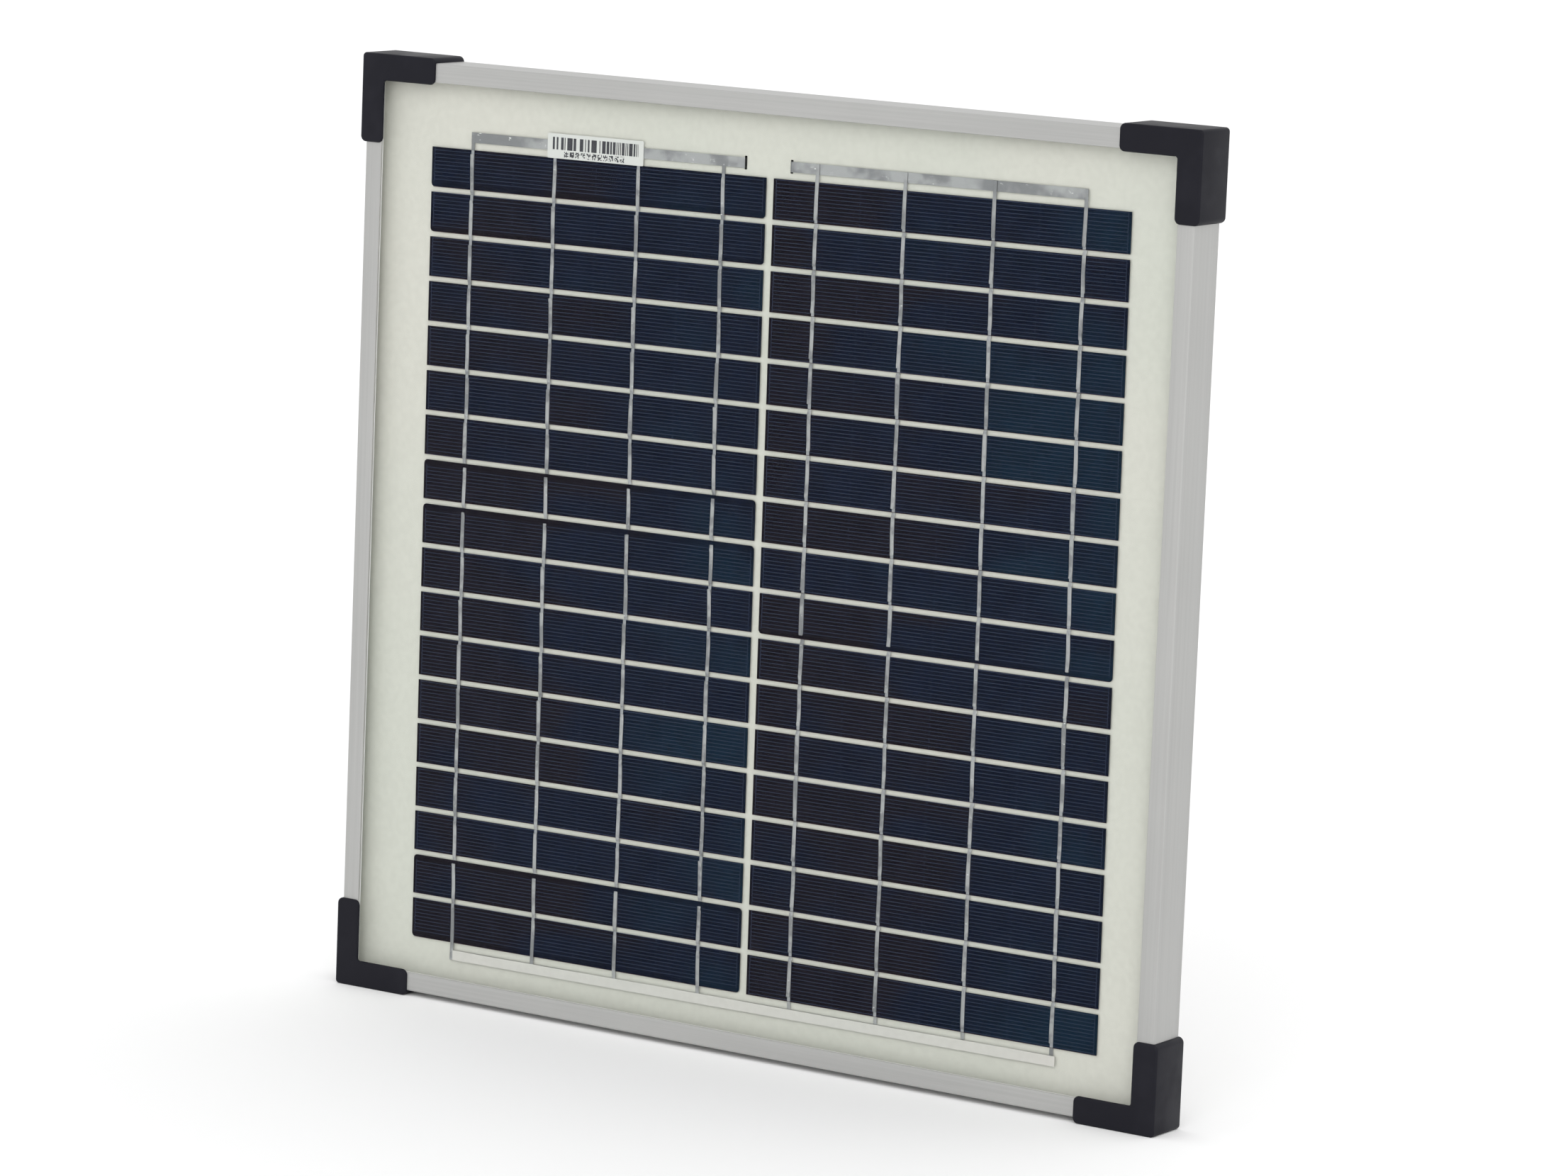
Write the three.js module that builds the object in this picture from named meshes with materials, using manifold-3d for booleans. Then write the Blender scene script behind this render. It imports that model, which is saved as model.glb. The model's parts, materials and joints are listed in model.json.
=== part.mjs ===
// Framed solar panel: 36 cut cells in two strings of 18, laminated behind glass,
// in an aluminium frame with plastic corner pieces and a rear junction box.
// Millimetres. X is the width, Z is up, the glass faces -Y.
// The origin is under the middle of the bottom edge.

import * as THREE from 'three';
import { mergeVertices } from 'three/addons/utils/BufferGeometryUtils.js';
import Module from 'manifold-3d';

// ---- cells and strings ----
const waferSide = 156.75;
const stripsPerWafer = 10;
const sawKerf = 0.1;
const cellThickness = 0.2;
const waferCorner = 1.6;
const rowCount = 18;
const rowGap = 2.0;
const columnGap = 3.3;
const busbarCount = 4;
const stringSkew = -0.4 * Math.PI / 180;

// ---- ribbons and buses ----
const ribbonWidth = 1.6;
const ribbonThickness = 0.2;
const ribbonLap = 12.5;
const ribbonStartInset = 1.2;
const ribbonStepInset = 0.35;
const busWidth = 4.0;
const busGap = 2.9;
const leadReach = 4.2;
const leftBusOverrun = 8.8;
const rightBusOverrun = 11.2;

// ---- white insulating strip and serial label ----
const stripThickness = 0.15;
const stripOverrun = 1.0;
const labelWidth = 45;
const labelHeight = 9.6;
const labelThickness = 0.1;
const labelFromFirstRibbon = 35.6;
const labelRise = 2.6;

// ---- laminate ----
const glassThickness = 3.2;
const frontEncapsulant = 0.55;
const rearEncapsulant = 0.5;
const backSheetThickness = 0.35;
const pocketClearance = 0.3;
const slitClearance = 0.6;

// ---- frame ----
const sideBorder = 29.1;
const topBorder = 31.8;
const bottomBorder = 22.3;
const sideShift = 0.65;
const frameDepth = 18;
const frameWall = 1.3;
const flangeThickness = 1.2;
const flangeWidth = 7.5;
const shelfWidth = 9.0;
const rearFlangeWidth = 12.0;
const sealFace = 0.25;
const sealEdge = 0.8;
const mitreGap = 0.15;
const slotWidth = 5.4;
const slotLength = 9.0;
const slotFromEnd = 82;
const slotFromFace = 7.2;
const slotBlock = 60;

// ---- corner pieces ----
const capArm = 35;
const capArmWidth = 10.5;
const capSide = 2.0;
const capFace = 1.0;
const capRound = 2.2;
const capBevel = 0.5;
const capOuterRound = 1.2;
const capInnerRound = 0.8;
const keyClearance = 0.3;
const keyWeb = 1.8;
const keyArm = 30;

// ---- junction box ----
const boxWidth = 62;
const boxHeight = 46;
const boxDepth = 10.6;
const boxWall = 1.6;
const boxFloor = 1.2;
const boxTopFromBus = 10;
const lidThickness = 1.5;
const lidRim = 1.4;
const lidRimWall = 1.2;
const lidClearance = 0.3;
const hingePinRadius = 1.1;
const hingeBarrelRadius = 2.3;
const hingeClearance = 0.3;
const hingeLugLength = 5;
const hingeBarrelLength = 24;
const hingeOffset = 2.6;
const hingeRoot = 0.5;
const lidTabWidth = 12;
const lidTabReach = 2.2;

// ---- cable gland, terminals and diode ----
const glandHexAcross = 9.4;
const glandFlangeLength = 4;
const glandBodyRadius = 4.3;
const glandBodyLength = 8;
const glandBore = 3.3;
const glandNeckClearance = 0.4;
const terminalThickness = 0.8;
const terminalWidth = 14;
const terminalHeight = 26;
const terminalLift = 1.0;
const terminalGap = 1.2;
const terminalFoot = 3;
const screwRadius = 2.2;
const screwHeight = 1.4;
const screwBelowMiddle = 7;
const diodeRadius = 2.4;
const diodeLength = 9;
const diodeLeadRadius = 0.55;
const diodeAboveMiddle = 4;
const diodeClearance = 0.3;

// Lengths are rounded to a fine binary grid, so that faces meant to touch lie in one plane.
const grid = 1 / 4096;
const onGrid = (size) => Math.round(size / grid) * grid;

// ---- worked out from the values above ----
const cellHeight = waferSide / stripsPerWafer - sawKerf;
const rowPitch = cellHeight + rowGap;
const matrixWidth = 2 * waferSide + columnGap;
const matrixHeight = rowCount * rowPitch - rowGap;
const frameWidth = 2 * onGrid(matrixWidth / 2 + sideBorder);
const frameHeight = 2 * onGrid((matrixHeight + topBorder + bottomBorder) / 2);
const frameFront = -frameDepth / 2;
const frameBack = frameDepth / 2;
const frameBottom = onGrid(capSide);
const frameTop = frameBottom + frameHeight;
const frameMiddle = (frameBottom + frameTop) / 2;
const matrixTop = frameTop - topBorder;
const matrixMiddle = matrixTop - matrixHeight / 2;

const glassFront = frameFront + flangeThickness + sealFace;
const glassBack = glassFront + glassThickness;
const cellFront = glassBack + frontEncapsulant;
const cellBack = cellFront + cellThickness;
const sheetFront = cellBack + rearEncapsulant;
const sheetBack = sheetFront + backSheetThickness;
const shelfFront = sheetBack + sealFace;
const shelfBack = shelfFront + flangeThickness;
const rearFlangeFront = frameBack - flangeThickness;
const laminateWidth = frameWidth - 2 * (frameWall + sealEdge);
const laminateHeight = frameHeight - 2 * (frameWall + sealEdge);

const busbarPitch = waferSide / busbarCount;
const columnCentres = [-1, 1].map((side) => side * (waferSide + columnGap) / 2);
const boxMiddleX = sideShift + (leftBusOverrun - rightBusOverrun) / 2;
const boxTop = matrixTop + busGap + busWidth + boxTopFromBus;
const boxMiddleZ = boxTop - boxHeight / 2;
const boxFront = sheetBack;
const boxRim = boxFront + boxDepth;

const bite = 0.5;
const past = 1;
const quarterTurn = Math.PI / 2;

const wasm = await Module();
wasm.setup();

// ---------------------------------------------------------------- solids

// A closed mesh as a solid that can be joined and cut.
// Its coordinates are rounded to a grid, so faces meant to touch lie in exactly one plane.
function solidOf(geometry) {
  const bare = geometry.clone();
  bare.deleteAttribute('normal');
  bare.deleteAttribute('uv');
  const merged = mergeVertices(bare, 1e-4);
  const rounded = merged.attributes.position.array.map(onGrid);
  return solidFrom(rounded, merged.index.array);
}

function solidFrom(positions, indices) {
  return new wasm.Manifold(new wasm.Mesh({
    numProp: 3,
    vertProperties: new Float32Array(positions),
    triVerts: new Uint32Array(indices),
  }));
}

function geometryOf(solid) {
  const mesh = solid.getMesh();
  const geometry = new THREE.BufferGeometry();
  geometry.setAttribute('position', new THREE.BufferAttribute(mesh.vertProperties, 3));
  geometry.setIndex(new THREE.BufferAttribute(mesh.triVerts, 1));
  geometry.computeVertexNormals();
  return geometry;
}

// A box from its limits along X, Y and Z.
function boxGeometry(x, y, z) {
  const geometry = new THREE.BoxGeometry(x[1] - x[0], y[1] - y[0], z[1] - z[0]);
  return geometry.translate((x[0] + x[1]) / 2, (y[0] + y[1]) / 2, (z[0] + z[1]) / 2);
}

function box(x, y, z) {
  return solidOf(boxGeometry(x, y, z));
}

// A box given by its middle and half width in X and Z.
function slab(middleX, halfX, y, middleZ, halfZ) {
  return box([middleX - halfX, middleX + halfX], y, [middleZ - halfZ, middleZ + halfZ]);
}

// A closed outline in X and Z, carried from one depth to another.
function prismGeometry(shape, y, bevel = 0) {
  const geometry = new THREE.ExtrudeGeometry(shape, {
    depth: y[1] - y[0] - 2 * bevel,
    bevelEnabled: bevel > 0,
    bevelThickness: bevel,
    bevelSize: bevel,
    bevelOffset: -bevel,
    bevelSegments: 1,
    curveSegments: 4,
  });
  return geometry.rotateX(quarterTurn).translate(0, y[1] - bevel, 0);
}

function cylinder(radius, length, sides = 24) {
  return new THREE.CylinderGeometry(radius, radius, length, sides);
}

function joined(solids) {
  return solids.reduce((whole, next) => whole.add(next));
}

function cutBy(solid, cutters) {
  return cutters.reduce((whole, next) => whole.subtract(next), solid);
}

// ---------------------------------------------------------------- materials

const materials = {
  glass: new THREE.MeshStandardMaterial({ color: 0xdfe8e4, roughness: 0.08, metalness: 0 }),
  encapsulant: new THREE.MeshStandardMaterial({ color: 0xe8ebe6, roughness: 0.4, metalness: 0 }),
  silicon: new THREE.MeshStandardMaterial({ color: 0x141d30, roughness: 0.35, metalness: 0.2 }),
  tinned: new THREE.MeshStandardMaterial({ color: 0xa7a9ab, roughness: 0.4, metalness: 0.9 }),
  whiteSheet: new THREE.MeshStandardMaterial({ color: 0xcdd0c8, roughness: 0.6, metalness: 0 }),
  label: new THREE.MeshStandardMaterial({ color: 0xe2e2e0, roughness: 0.7, metalness: 0 }),
  aluminium: new THREE.MeshStandardMaterial({ color: 0xb9bbb9, roughness: 0.45, metalness: 0.9 }),
  seal: new THREE.MeshStandardMaterial({ color: 0xd0d0cc, roughness: 0.8, metalness: 0 }),
  blackPlastic: new THREE.MeshStandardMaterial({ color: 0x26262c, roughness: 0.55, metalness: 0 }),
  diodeBody: new THREE.MeshStandardMaterial({ color: 0x17171a, roughness: 0.4, metalness: 0 }),
};

const panel = new THREE.Group();
const strings = new THREE.Group();
strings.position.set(sideShift, 0, matrixMiddle);
strings.rotation.y = stringSkew;
strings.updateMatrix();
panel.add(strings);

function place(parent, name, geometry, material) {
  const mesh = new THREE.Mesh(geometry, material);
  mesh.name = name;
  parent.add(mesh);
  return mesh;
}

// ---------------------------------------------------------------- strings

// Middle height of a row in the strings' own frame.
function rowMiddle(row) {
  return matrixHeight / 2 - cellHeight / 2 - row * rowPitch;
}

function ribbonCentres(column) {
  const places = [...Array(busbarCount).keys()];
  return places.map((n) => columnCentres[column] + (n - (busbarCount - 1) / 2) * busbarPitch);
}

const leftRibbons = ribbonCentres(0);
const rightRibbons = ribbonCentres(1);
const firstRibbonEdge = leftRibbons[0] - ribbonWidth / 2;
const lastRibbonEdge = rightRibbons[busbarCount - 1] + ribbonWidth / 2;
const negativeLeadX = leftRibbons[busbarCount - 1] + ribbonWidth / 2 + leftBusOverrun;
const positiveLeadX = rightRibbons[0] - ribbonWidth / 2 - rightBusOverrun;

// End strips of a wafer keep its two cut corners, on the upper or the lower edge.
function waferEnd(column, row) {
  const upper = [[7, 8, 16], []];
  const lower = [[0, 1, 17], [9]];
  if (upper[column].includes(row)) return 1;
  if (lower[column].includes(row)) return -1;
  return 0;
}

function cellShape(column, row) {
  const left = columnCentres[column] - waferSide / 2;
  const right = left + waferSide;
  const bottom = rowMiddle(row) - cellHeight / 2;
  const top = bottom + cellHeight;
  const end = waferEnd(column, row);
  const low = end < 0 ? waferCorner : 0;
  const high = end > 0 ? waferCorner : 0;
  const corners = [
    [left + low, bottom], [right - low, bottom], [right, bottom + low], [right, top - high],
    [right - high, top], [left + high, top], [left, top - high], [left, bottom + low],
  ];
  const points = corners.map(([x, z]) => new THREE.Vector2(x, z));
  const kept = points.filter((point, n) => point.distanceTo(points[(n + 7) % 8]) > 1e-6);
  return new THREE.Shape(kept);
}

// A ribbon lies on its own cell's front, steps down across the gap and laps behind the next.
// The heights are measured from the cell's middle towards the next cell.
function ribbonSolid(x, row, towards, hasNext) {
  const edge = cellHeight / 2;
  const front = cellFront - ribbonThickness;
  const back = cellBack;
  const start = -edge + ribbonStartInset;
  const stepFrom = edge + ribbonStepInset;
  const stepTo = edge + rowGap - ribbonStepInset;
  const end = hasNext ? stepTo + ribbonLap : edge + busGap + busWidth;
  const outline = hasNext
    ? [
      [front, start], [front, stepFrom], [back, stepTo], [back, end],
      [back + ribbonThickness, end], [back + ribbonThickness, stepTo],
      [front + ribbonThickness, stepFrom], [front + ribbonThickness, start],
    ]
    : [
      [front, start], [front, end],
      [front + ribbonThickness, end], [front + ribbonThickness, start],
    ];
  // The outline is drawn in Y and Z and carried along X.
  const middle = rowMiddle(row);
  const turned = outline.map(([y, along]) => new THREE.Vector2(y, middle + towards * along));
  const shape = new THREE.Shape(turned);
  const geometry = new THREE.ExtrudeGeometry(shape, { depth: ribbonWidth, bevelEnabled: false });
  geometry.applyMatrix4(new THREE.Matrix4().set(
    0, 0, 1, x - ribbonWidth / 2,
    1, 0, 0, 0,
    0, 1, 0, 0,
    0, 0, 0, 1,
  ));
  return solidOf(geometry);
}

// The left string runs down and the right string runs up.
function tabbedCell(column, row) {
  const towards = column === 0 ? -1 : 1;
  const hasNext = column === 0 ? row < rowCount - 1 : row > 0;
  const wafer = solidOf(prismGeometry(cellShape(column, row), [cellFront, cellBack]));
  const ribbons = ribbonCentres(column).map((x) => {
    return column === 1 && !hasNext ? null : ribbonSolid(x, row, towards, hasNext);
  });
  return joined([wafer, ...ribbons.filter(Boolean)]);
}

for (const column of [0, 1]) {
  for (let row = 0; row < rowCount; row += 1) {
    const name = `cell_${'ab'[column]}${String(row + 1).padStart(2, '0')}`;
    place(strings, name, geometryOf(tabbedCell(column, row)), materials.silicon);
  }
}

// ---------------------------------------------------------------- buses

const busBottomZ = matrixHeight / 2 + busGap;
const busTopZ = busBottomZ + busWidth;
const crossTopZ = -matrixHeight / 2 - busGap;
const crossBottomZ = crossTopZ - busWidth;
const rowTopZ = matrixHeight / 2;
const leadBack = boxFront + boxFloor + leadReach;

function tails(column, y, z) {
  const half = ribbonWidth / 2;
  return ribbonCentres(column).map((x) => box([x - half, x + half], y, z));
}

// Negative terminal: four tails lap behind the first cell of the left string.
function leftBus() {
  const to = negativeLeadX;
  const bar = box([firstRibbonEdge, to], [cellFront, cellBack], [busBottomZ, busTopZ]);
  const lead = box([to - ribbonThickness, to], [cellFront, leadBack], [busBottomZ, busTopZ]);
  const behind = [cellBack, cellBack + ribbonThickness];
  return joined([bar, lead, ...tails(0, behind, [rowTopZ - ribbonLap, busTopZ])]);
}

// Positive terminal: four tails lie on the front of the first cell of the right string.
function rightBus() {
  const from = positiveLeadX;
  const bar = box([from, lastRibbonEdge], [cellFront, cellBack], [busBottomZ, busTopZ]);
  const lead = box([from, from + ribbonThickness], [cellFront, leadBack], [busBottomZ, busTopZ]);
  const ahead = [cellFront - ribbonThickness, cellFront];
  const tailEnd = rowTopZ - cellHeight + ribbonStartInset;
  return joined([bar, lead, ...tails(1, ahead, [tailEnd, busTopZ])]);
}

// Joins the last cell of the left string to the last cell of the right string.
function crossBus() {
  const x = [firstRibbonEdge, lastRibbonEdge];
  const bar = box(x, [cellFront, cellBack], [crossBottomZ, crossTopZ]);
  const behind = [cellBack, cellBack + ribbonThickness];
  return joined([bar, ...tails(1, behind, [crossBottomZ, -rowTopZ + ribbonLap])]);
}

// White strip over the cross bus, from beside the first ribbon to past the last.
function insulatingStrip() {
  const x = [firstRibbonEdge + ribbonWidth, lastRibbonEdge + stripOverrun];
  const back = cellFront - ribbonThickness;
  return box(x, [back - stripThickness, back], [crossBottomZ, crossTopZ]);
}

const labelLeft = leftRibbons[0] + labelFromFirstRibbon;
const labelTop = busTopZ + labelRise;
const labelX = [labelLeft, labelLeft + labelWidth];
const labelZ = [labelTop - labelHeight, labelTop];

function serialLabel() {
  return box(labelX, [cellFront - labelThickness, cellFront], labelZ);
}

place(strings, 'bus_negative', geometryOf(leftBus()), materials.tinned);
place(strings, 'bus_positive', geometryOf(rightBus()), materials.tinned);
place(strings, 'bus_cross', geometryOf(crossBus()), materials.tinned);
place(strings, 'insulating_strip', geometryOf(insulatingStrip()), materials.whiteSheet);
place(strings, 'serial_label', geometryOf(serialLabel()), materials.label);

// ---------------------------------------------------------------- laminate

// A pocket in the strings' frame, grown all round.
function pocket(x, y, z) {
  const c = pocketClearance;
  return box([x[0] - c, x[1] + c], y, [z[0] - c, z[1] + c]);
}

// Pockets joined in the strings' frame, then turned as one cutter into the panel's frame.
function turnedCutter(pockets) {
  const geometry = geometryOf(joined(pockets)).applyMatrix4(strings.matrix);
  return solidFrom(geometry.attributes.position.array, geometry.index.array);
}

function cellPockets(y) {
  const cutters = [];
  for (const column of [0, 1]) {
    const half = waferSide / 2;
    const x = [columnCentres[column] - half, columnCentres[column] + half];
    for (let row = 0; row < rowCount; row += 1) {
      const middle = rowMiddle(row);
      cutters.push(pocket(x, y, [middle - cellHeight / 2, middle + cellHeight / 2]));
    }
  }
  return cutters;
}

function ribbonGrooves(y) {
  return [0, 1].flatMap((column) => ribbonCentres(column).map((x) => {
    const half = ribbonWidth / 2;
    return pocket([x - half, x + half], y, [crossBottomZ, busTopZ]);
  }));
}

function busPockets(y) {
  return [
    pocket([firstRibbonEdge, negativeLeadX], y, [busBottomZ, busTopZ]),
    pocket([positiveLeadX, lastRibbonEdge], y, [busBottomZ, busTopZ]),
    pocket([firstRibbonEdge, lastRibbonEdge + stripOverrun], y, [crossBottomZ, crossTopZ]),
  ];
}

// Slits that let the two leads through to the junction box.
function leadSlits(y) {
  const grow = slitClearance - pocketClearance;
  return [negativeLeadX, positiveLeadX].map((x) => {
    return pocket([x - grow, x + grow], y, [busBottomZ - grow, busTopZ + grow]);
  });
}

function laminateLayer(y) {
  return slab(0, laminateWidth / 2, y, frameMiddle, laminateHeight / 2);
}

function frontEncapsulantSolid() {
  const stripFront = cellFront - ribbonThickness - stripThickness;
  const stripX = [leftRibbons[0], lastRibbonEdge + stripOverrun];
  return laminateLayer([glassBack, cellBack]).subtract(turnedCutter([
    ...cellPockets([cellFront - ribbonThickness, cellBack + past]),
    ...ribbonGrooves([cellFront - ribbonThickness, cellBack + past]),
    ...busPockets([cellFront, cellBack + past]),
    pocket(labelX, [cellFront - labelThickness, cellBack + past], labelZ),
    pocket(stripX, [stripFront, cellBack + past], [crossBottomZ, crossTopZ]),
  ]));
}

function rearEncapsulantSolid() {
  return laminateLayer([cellBack, sheetFront]).subtract(turnedCutter([
    ...ribbonGrooves([cellBack - past, cellBack + ribbonThickness]),
    ...leadSlits([cellBack - past, sheetFront + past]),
  ]));
}

const glassSolid = laminateLayer([glassFront, glassBack]);
const sheetSlits = turnedCutter(leadSlits([sheetFront - past, sheetBack + past]));
const backSheetSolid = laminateLayer([sheetFront, sheetBack]).subtract(sheetSlits);
place(panel, 'glass_pane', geometryOf(glassSolid), materials.glass);
place(panel, 'front_encapsulant', geometryOf(frontEncapsulantSolid()), materials.encapsulant);
place(panel, 'rear_encapsulant', geometryOf(rearEncapsulantSolid()), materials.encapsulant);
place(panel, 'back_sheet', geometryOf(backSheetSolid), materials.whiteSheet);

// Soft channel round the laminate's edge, between it and the frame's groove.
function edgeSeal() {
  const outer = slab(0, frameWidth / 2 - frameWall, [glassFront - sealFace, shelfFront],
    frameMiddle, frameHeight / 2 - frameWall);
  const laminate = laminateLayer([glassFront, sheetBack]);
  const through = [glassFront - past, shelfFront + past];
  const opening = slab(0, frameWidth / 2 - flangeWidth, through,
    frameMiddle, frameHeight / 2 - flangeWidth);
  return cutBy(outer, [laminate, opening]);
}

place(panel, 'edge_seal', geometryOf(edgeSeal()), materials.seal);

// ---------------------------------------------------------------- frame

// The extruded section: how far in from the outer face, and depth from front to back.
function railSection() {
  const outline = [
    [0, frameFront], [flangeWidth, frameFront], [flangeWidth, frameFront + flangeThickness],
    [frameWall, frameFront + flangeThickness], [frameWall, shelfFront], [shelfWidth, shelfFront],
    [shelfWidth, shelfBack], [frameWall, shelfBack], [frameWall, rearFlangeFront],
    [rearFlangeWidth, rearFlangeFront], [rearFlangeWidth, frameBack], [0, frameBack],
  ];
  return new THREE.Shape(outline.map(([inward, depth]) => new THREE.Vector2(inward, depth)));
}

// A rail along its own X, outer face at zero height, with both ends mitred at 45 degrees.
function railGeometry(length) {
  const settings = { depth: length, bevelEnabled: false };
  const geometry = new THREE.ExtrudeGeometry(railSection(), settings);
  const points = geometry.attributes.position;
  for (let n = 0; n < points.count; n += 1) {
    const inward = points.getX(n);
    const depth = points.getY(n);
    const end = points.getZ(n) > length / 2 ? -1 : 1;
    const along = end * (length / 2 - inward - mitreGap);
    points.setXYZ(n, along, depth, inward);
  }
  return geometry;
}

// A slot for a bolt through the rear flange, rounded at both ends.
function slotCutter(along) {
  const half = slotWidth / 2;
  const reach = slotLength / 2 - half;
  const shape = new THREE.Shape();
  shape.absarc(along + reach, slotFromFace, half, -quarterTurn, quarterTurn, false);
  shape.absarc(along - reach, slotFromFace, half, quarterTurn, 3 * quarterTurn, false);
  return solidOf(prismGeometry(shape, [rearFlangeFront - past, frameBack + past]));
}

// The stretch round each slot is a block of its own, so its rear face ends clear of the corners.
function railSolid(length, hasSlots) {
  const rail = solidOf(railGeometry(length));
  if (!hasSlots) return rail;
  const places = [-1, 1].map((side) => side * (length / 2 - slotFromEnd));
  const stretches = places.map((along) => {
    const x = [along - slotBlock / 2, along + slotBlock / 2];
    return box(x, [frameFront - past, frameBack + past], [-past, rearFlangeWidth + past]);
  });
  const blocks = places.map((along, n) => {
    return rail.intersect(stretches[n]).subtract(slotCutter(along)).asOriginal();
  });
  return joined([cutBy(rail, stretches).asOriginal(), ...blocks]);
}

const rails = [
  ['frame_rail_bottom', frameWidth, false, [0, frameBottom], 0],
  ['frame_rail_right', frameHeight, true, [frameWidth / 2, frameMiddle], -quarterTurn],
  ['frame_rail_top', frameWidth, false, [0, frameTop], 2 * quarterTurn],
  ['frame_rail_left', frameHeight, true, [-frameWidth / 2, frameMiddle], quarterTurn],
];
for (const [name, length, hasSlots, [x, z], turn] of rails) {
  const geometry = geometryOf(railSolid(length, hasSlots));
  const mesh = place(panel, name, geometry, materials.aluminium);
  mesh.position.set(x, 0, z);
  mesh.rotation.y = turn;
}

// ---------------------------------------------------------------- corner pieces

// An L with its outer corner at the origin and arms along +X and +Z.
// outer sets it back from that corner; inner is the far side of the arms.
function cornerShape(outer, inner, arm, round) {
  const r = Math.min(round, (inner - outer) / 2.2);
  const points = [
    [outer, outer, Math.min(r, capOuterRound)], [arm, outer, r], [arm, inner, r],
    [inner, inner, capInnerRound], [inner, arm, r], [outer, arm, r],
  ];
  const shape = new THREE.Shape();
  points.forEach(([x, z, radius], n) => {
    const [px, pz] = points[(n + 5) % 6];
    const [qx, qz] = points[(n + 1) % 6];
    const before = new THREE.Vector2(px - x, pz - z).setLength(radius);
    const after = new THREE.Vector2(qx - x, qz - z).setLength(radius);
    const move = n === 0 ? 'moveTo' : 'lineTo';
    shape[move](x + before.x, z + before.y);
    shape.quadraticCurveTo(x, z, x + after.x, z + after.y);
  });
  shape.closePath();
  return shape;
}

// Shell round the outside of the corner, hooked round the rear flange to a key in the channel.
function cornerSolid() {
  const capFront = frameFront - capFace;
  const capBack = frameBack + capFace;
  const innerFront = capArmWidth - capSide;
  const innerBack = rearFlangeWidth + keyClearance + keyWeb;
  const armEnd = capArm - capSide;
  const shell = solidOf(prismGeometry(
    cornerShape(-capSide, innerFront, armEnd, capRound), [capFront, capBack], capBevel));
  const inside = box([0, capArm * 2], [frameFront, frameBack], [0, capArm * 2]);
  const rear = solidOf(prismGeometry(
    cornerShape(-capSide, innerBack, armEnd, capRound), [frameBack, capBack], capBevel));
  const web = solidOf(prismGeometry(
    cornerShape(rearFlangeWidth + keyClearance, innerBack, keyArm, grid),
    [shelfBack + keyClearance, frameBack + capFace / 2]));
  const key = solidOf(prismGeometry(
    cornerShape(frameWall + keyClearance, innerBack, keyArm, grid),
    [shelfBack + keyClearance, rearFlangeFront - keyClearance]));
  return joined([shell.subtract(inside), rear, web, key]);
}

const corners = [
  ['corner_piece_bottom_left', -1, frameBottom, 0],
  ['corner_piece_bottom_right', 1, frameBottom, -quarterTurn],
  ['corner_piece_top_right', 1, frameTop, 2 * quarterTurn],
  ['corner_piece_top_left', -1, frameTop, quarterTurn],
];
for (const [name, side, z, turn] of corners) {
  const mesh = place(panel, name, geometryOf(cornerSolid()), materials.blackPlastic);
  mesh.position.set(side * frameWidth / 2, 0, z);
  mesh.rotation.y = turn;
}

// ---------------------------------------------------------------- junction box

const boxLeft = boxMiddleX - boxWidth / 2;
const boxRight = boxMiddleX + boxWidth / 2;
const boxBottom = boxTop - boxHeight;
const hingeX = boxRight + hingeOffset;
const hingeY = boxRim + lidThickness - hingeBarrelRadius;
const glandX = boxMiddleX;
const glandY = boxFront + boxFloor + (boxDepth - boxFloor) / 2;
const glandNeckRadius = (boxDepth - boxFloor) / 2 - glandNeckClearance;
const lugMiddle = hingeBarrelLength / 2 + hingeClearance + hingeLugLength / 2;

// A cylinder along Z at a place in X and Y.
function upright(radius, length, x, y, z, sides) {
  return solidOf(cylinder(radius, length, sides).rotateX(quarterTurn).translate(x, y, z));
}

// Two lugs with inward stub pins stand on the hinge side.
function hingeLugs() {
  return [-1, 1].flatMap((side) => {
    const z = boxMiddleZ + side * lugMiddle;
    const half = hingeLugLength / 2;
    const stubLength = hingeLugLength + hingeBarrelLength / 3;
    const stubZ = z - side * (stubLength - hingeLugLength) / 2;
    return [
      upright(hingeBarrelRadius, hingeLugLength, hingeX, hingeY, z),
      box([boxRight - hingeRoot, hingeX], [hingeY - hingeBarrelRadius, hingeY], [z - half, z + half]),
      upright(hingePinRadius, stubLength, hingeX, hingeY, stubZ),
    ];
  });
}

function junctionBoxBase() {
  const outer = box([boxLeft, boxRight], [boxFront, boxRim], [boxBottom, boxTop]);
  const inner = box([boxLeft + boxWall, boxRight - boxWall], [boxFront + boxFloor, boxRim + past],
    [boxBottom + boxWall, boxTop - boxWall]);
  const glandHole = upright(glandNeckRadius + lidClearance, 4 * boxWall, glandX, glandY, boxBottom);
  const slits = turnedCutter(leadSlits([boxFront - past, boxFront + boxFloor + past]));
  const shell = cutBy(outer, [inner, glandHole, slits]);
  return joined([shell, ...hingeLugs()]);
}

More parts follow.
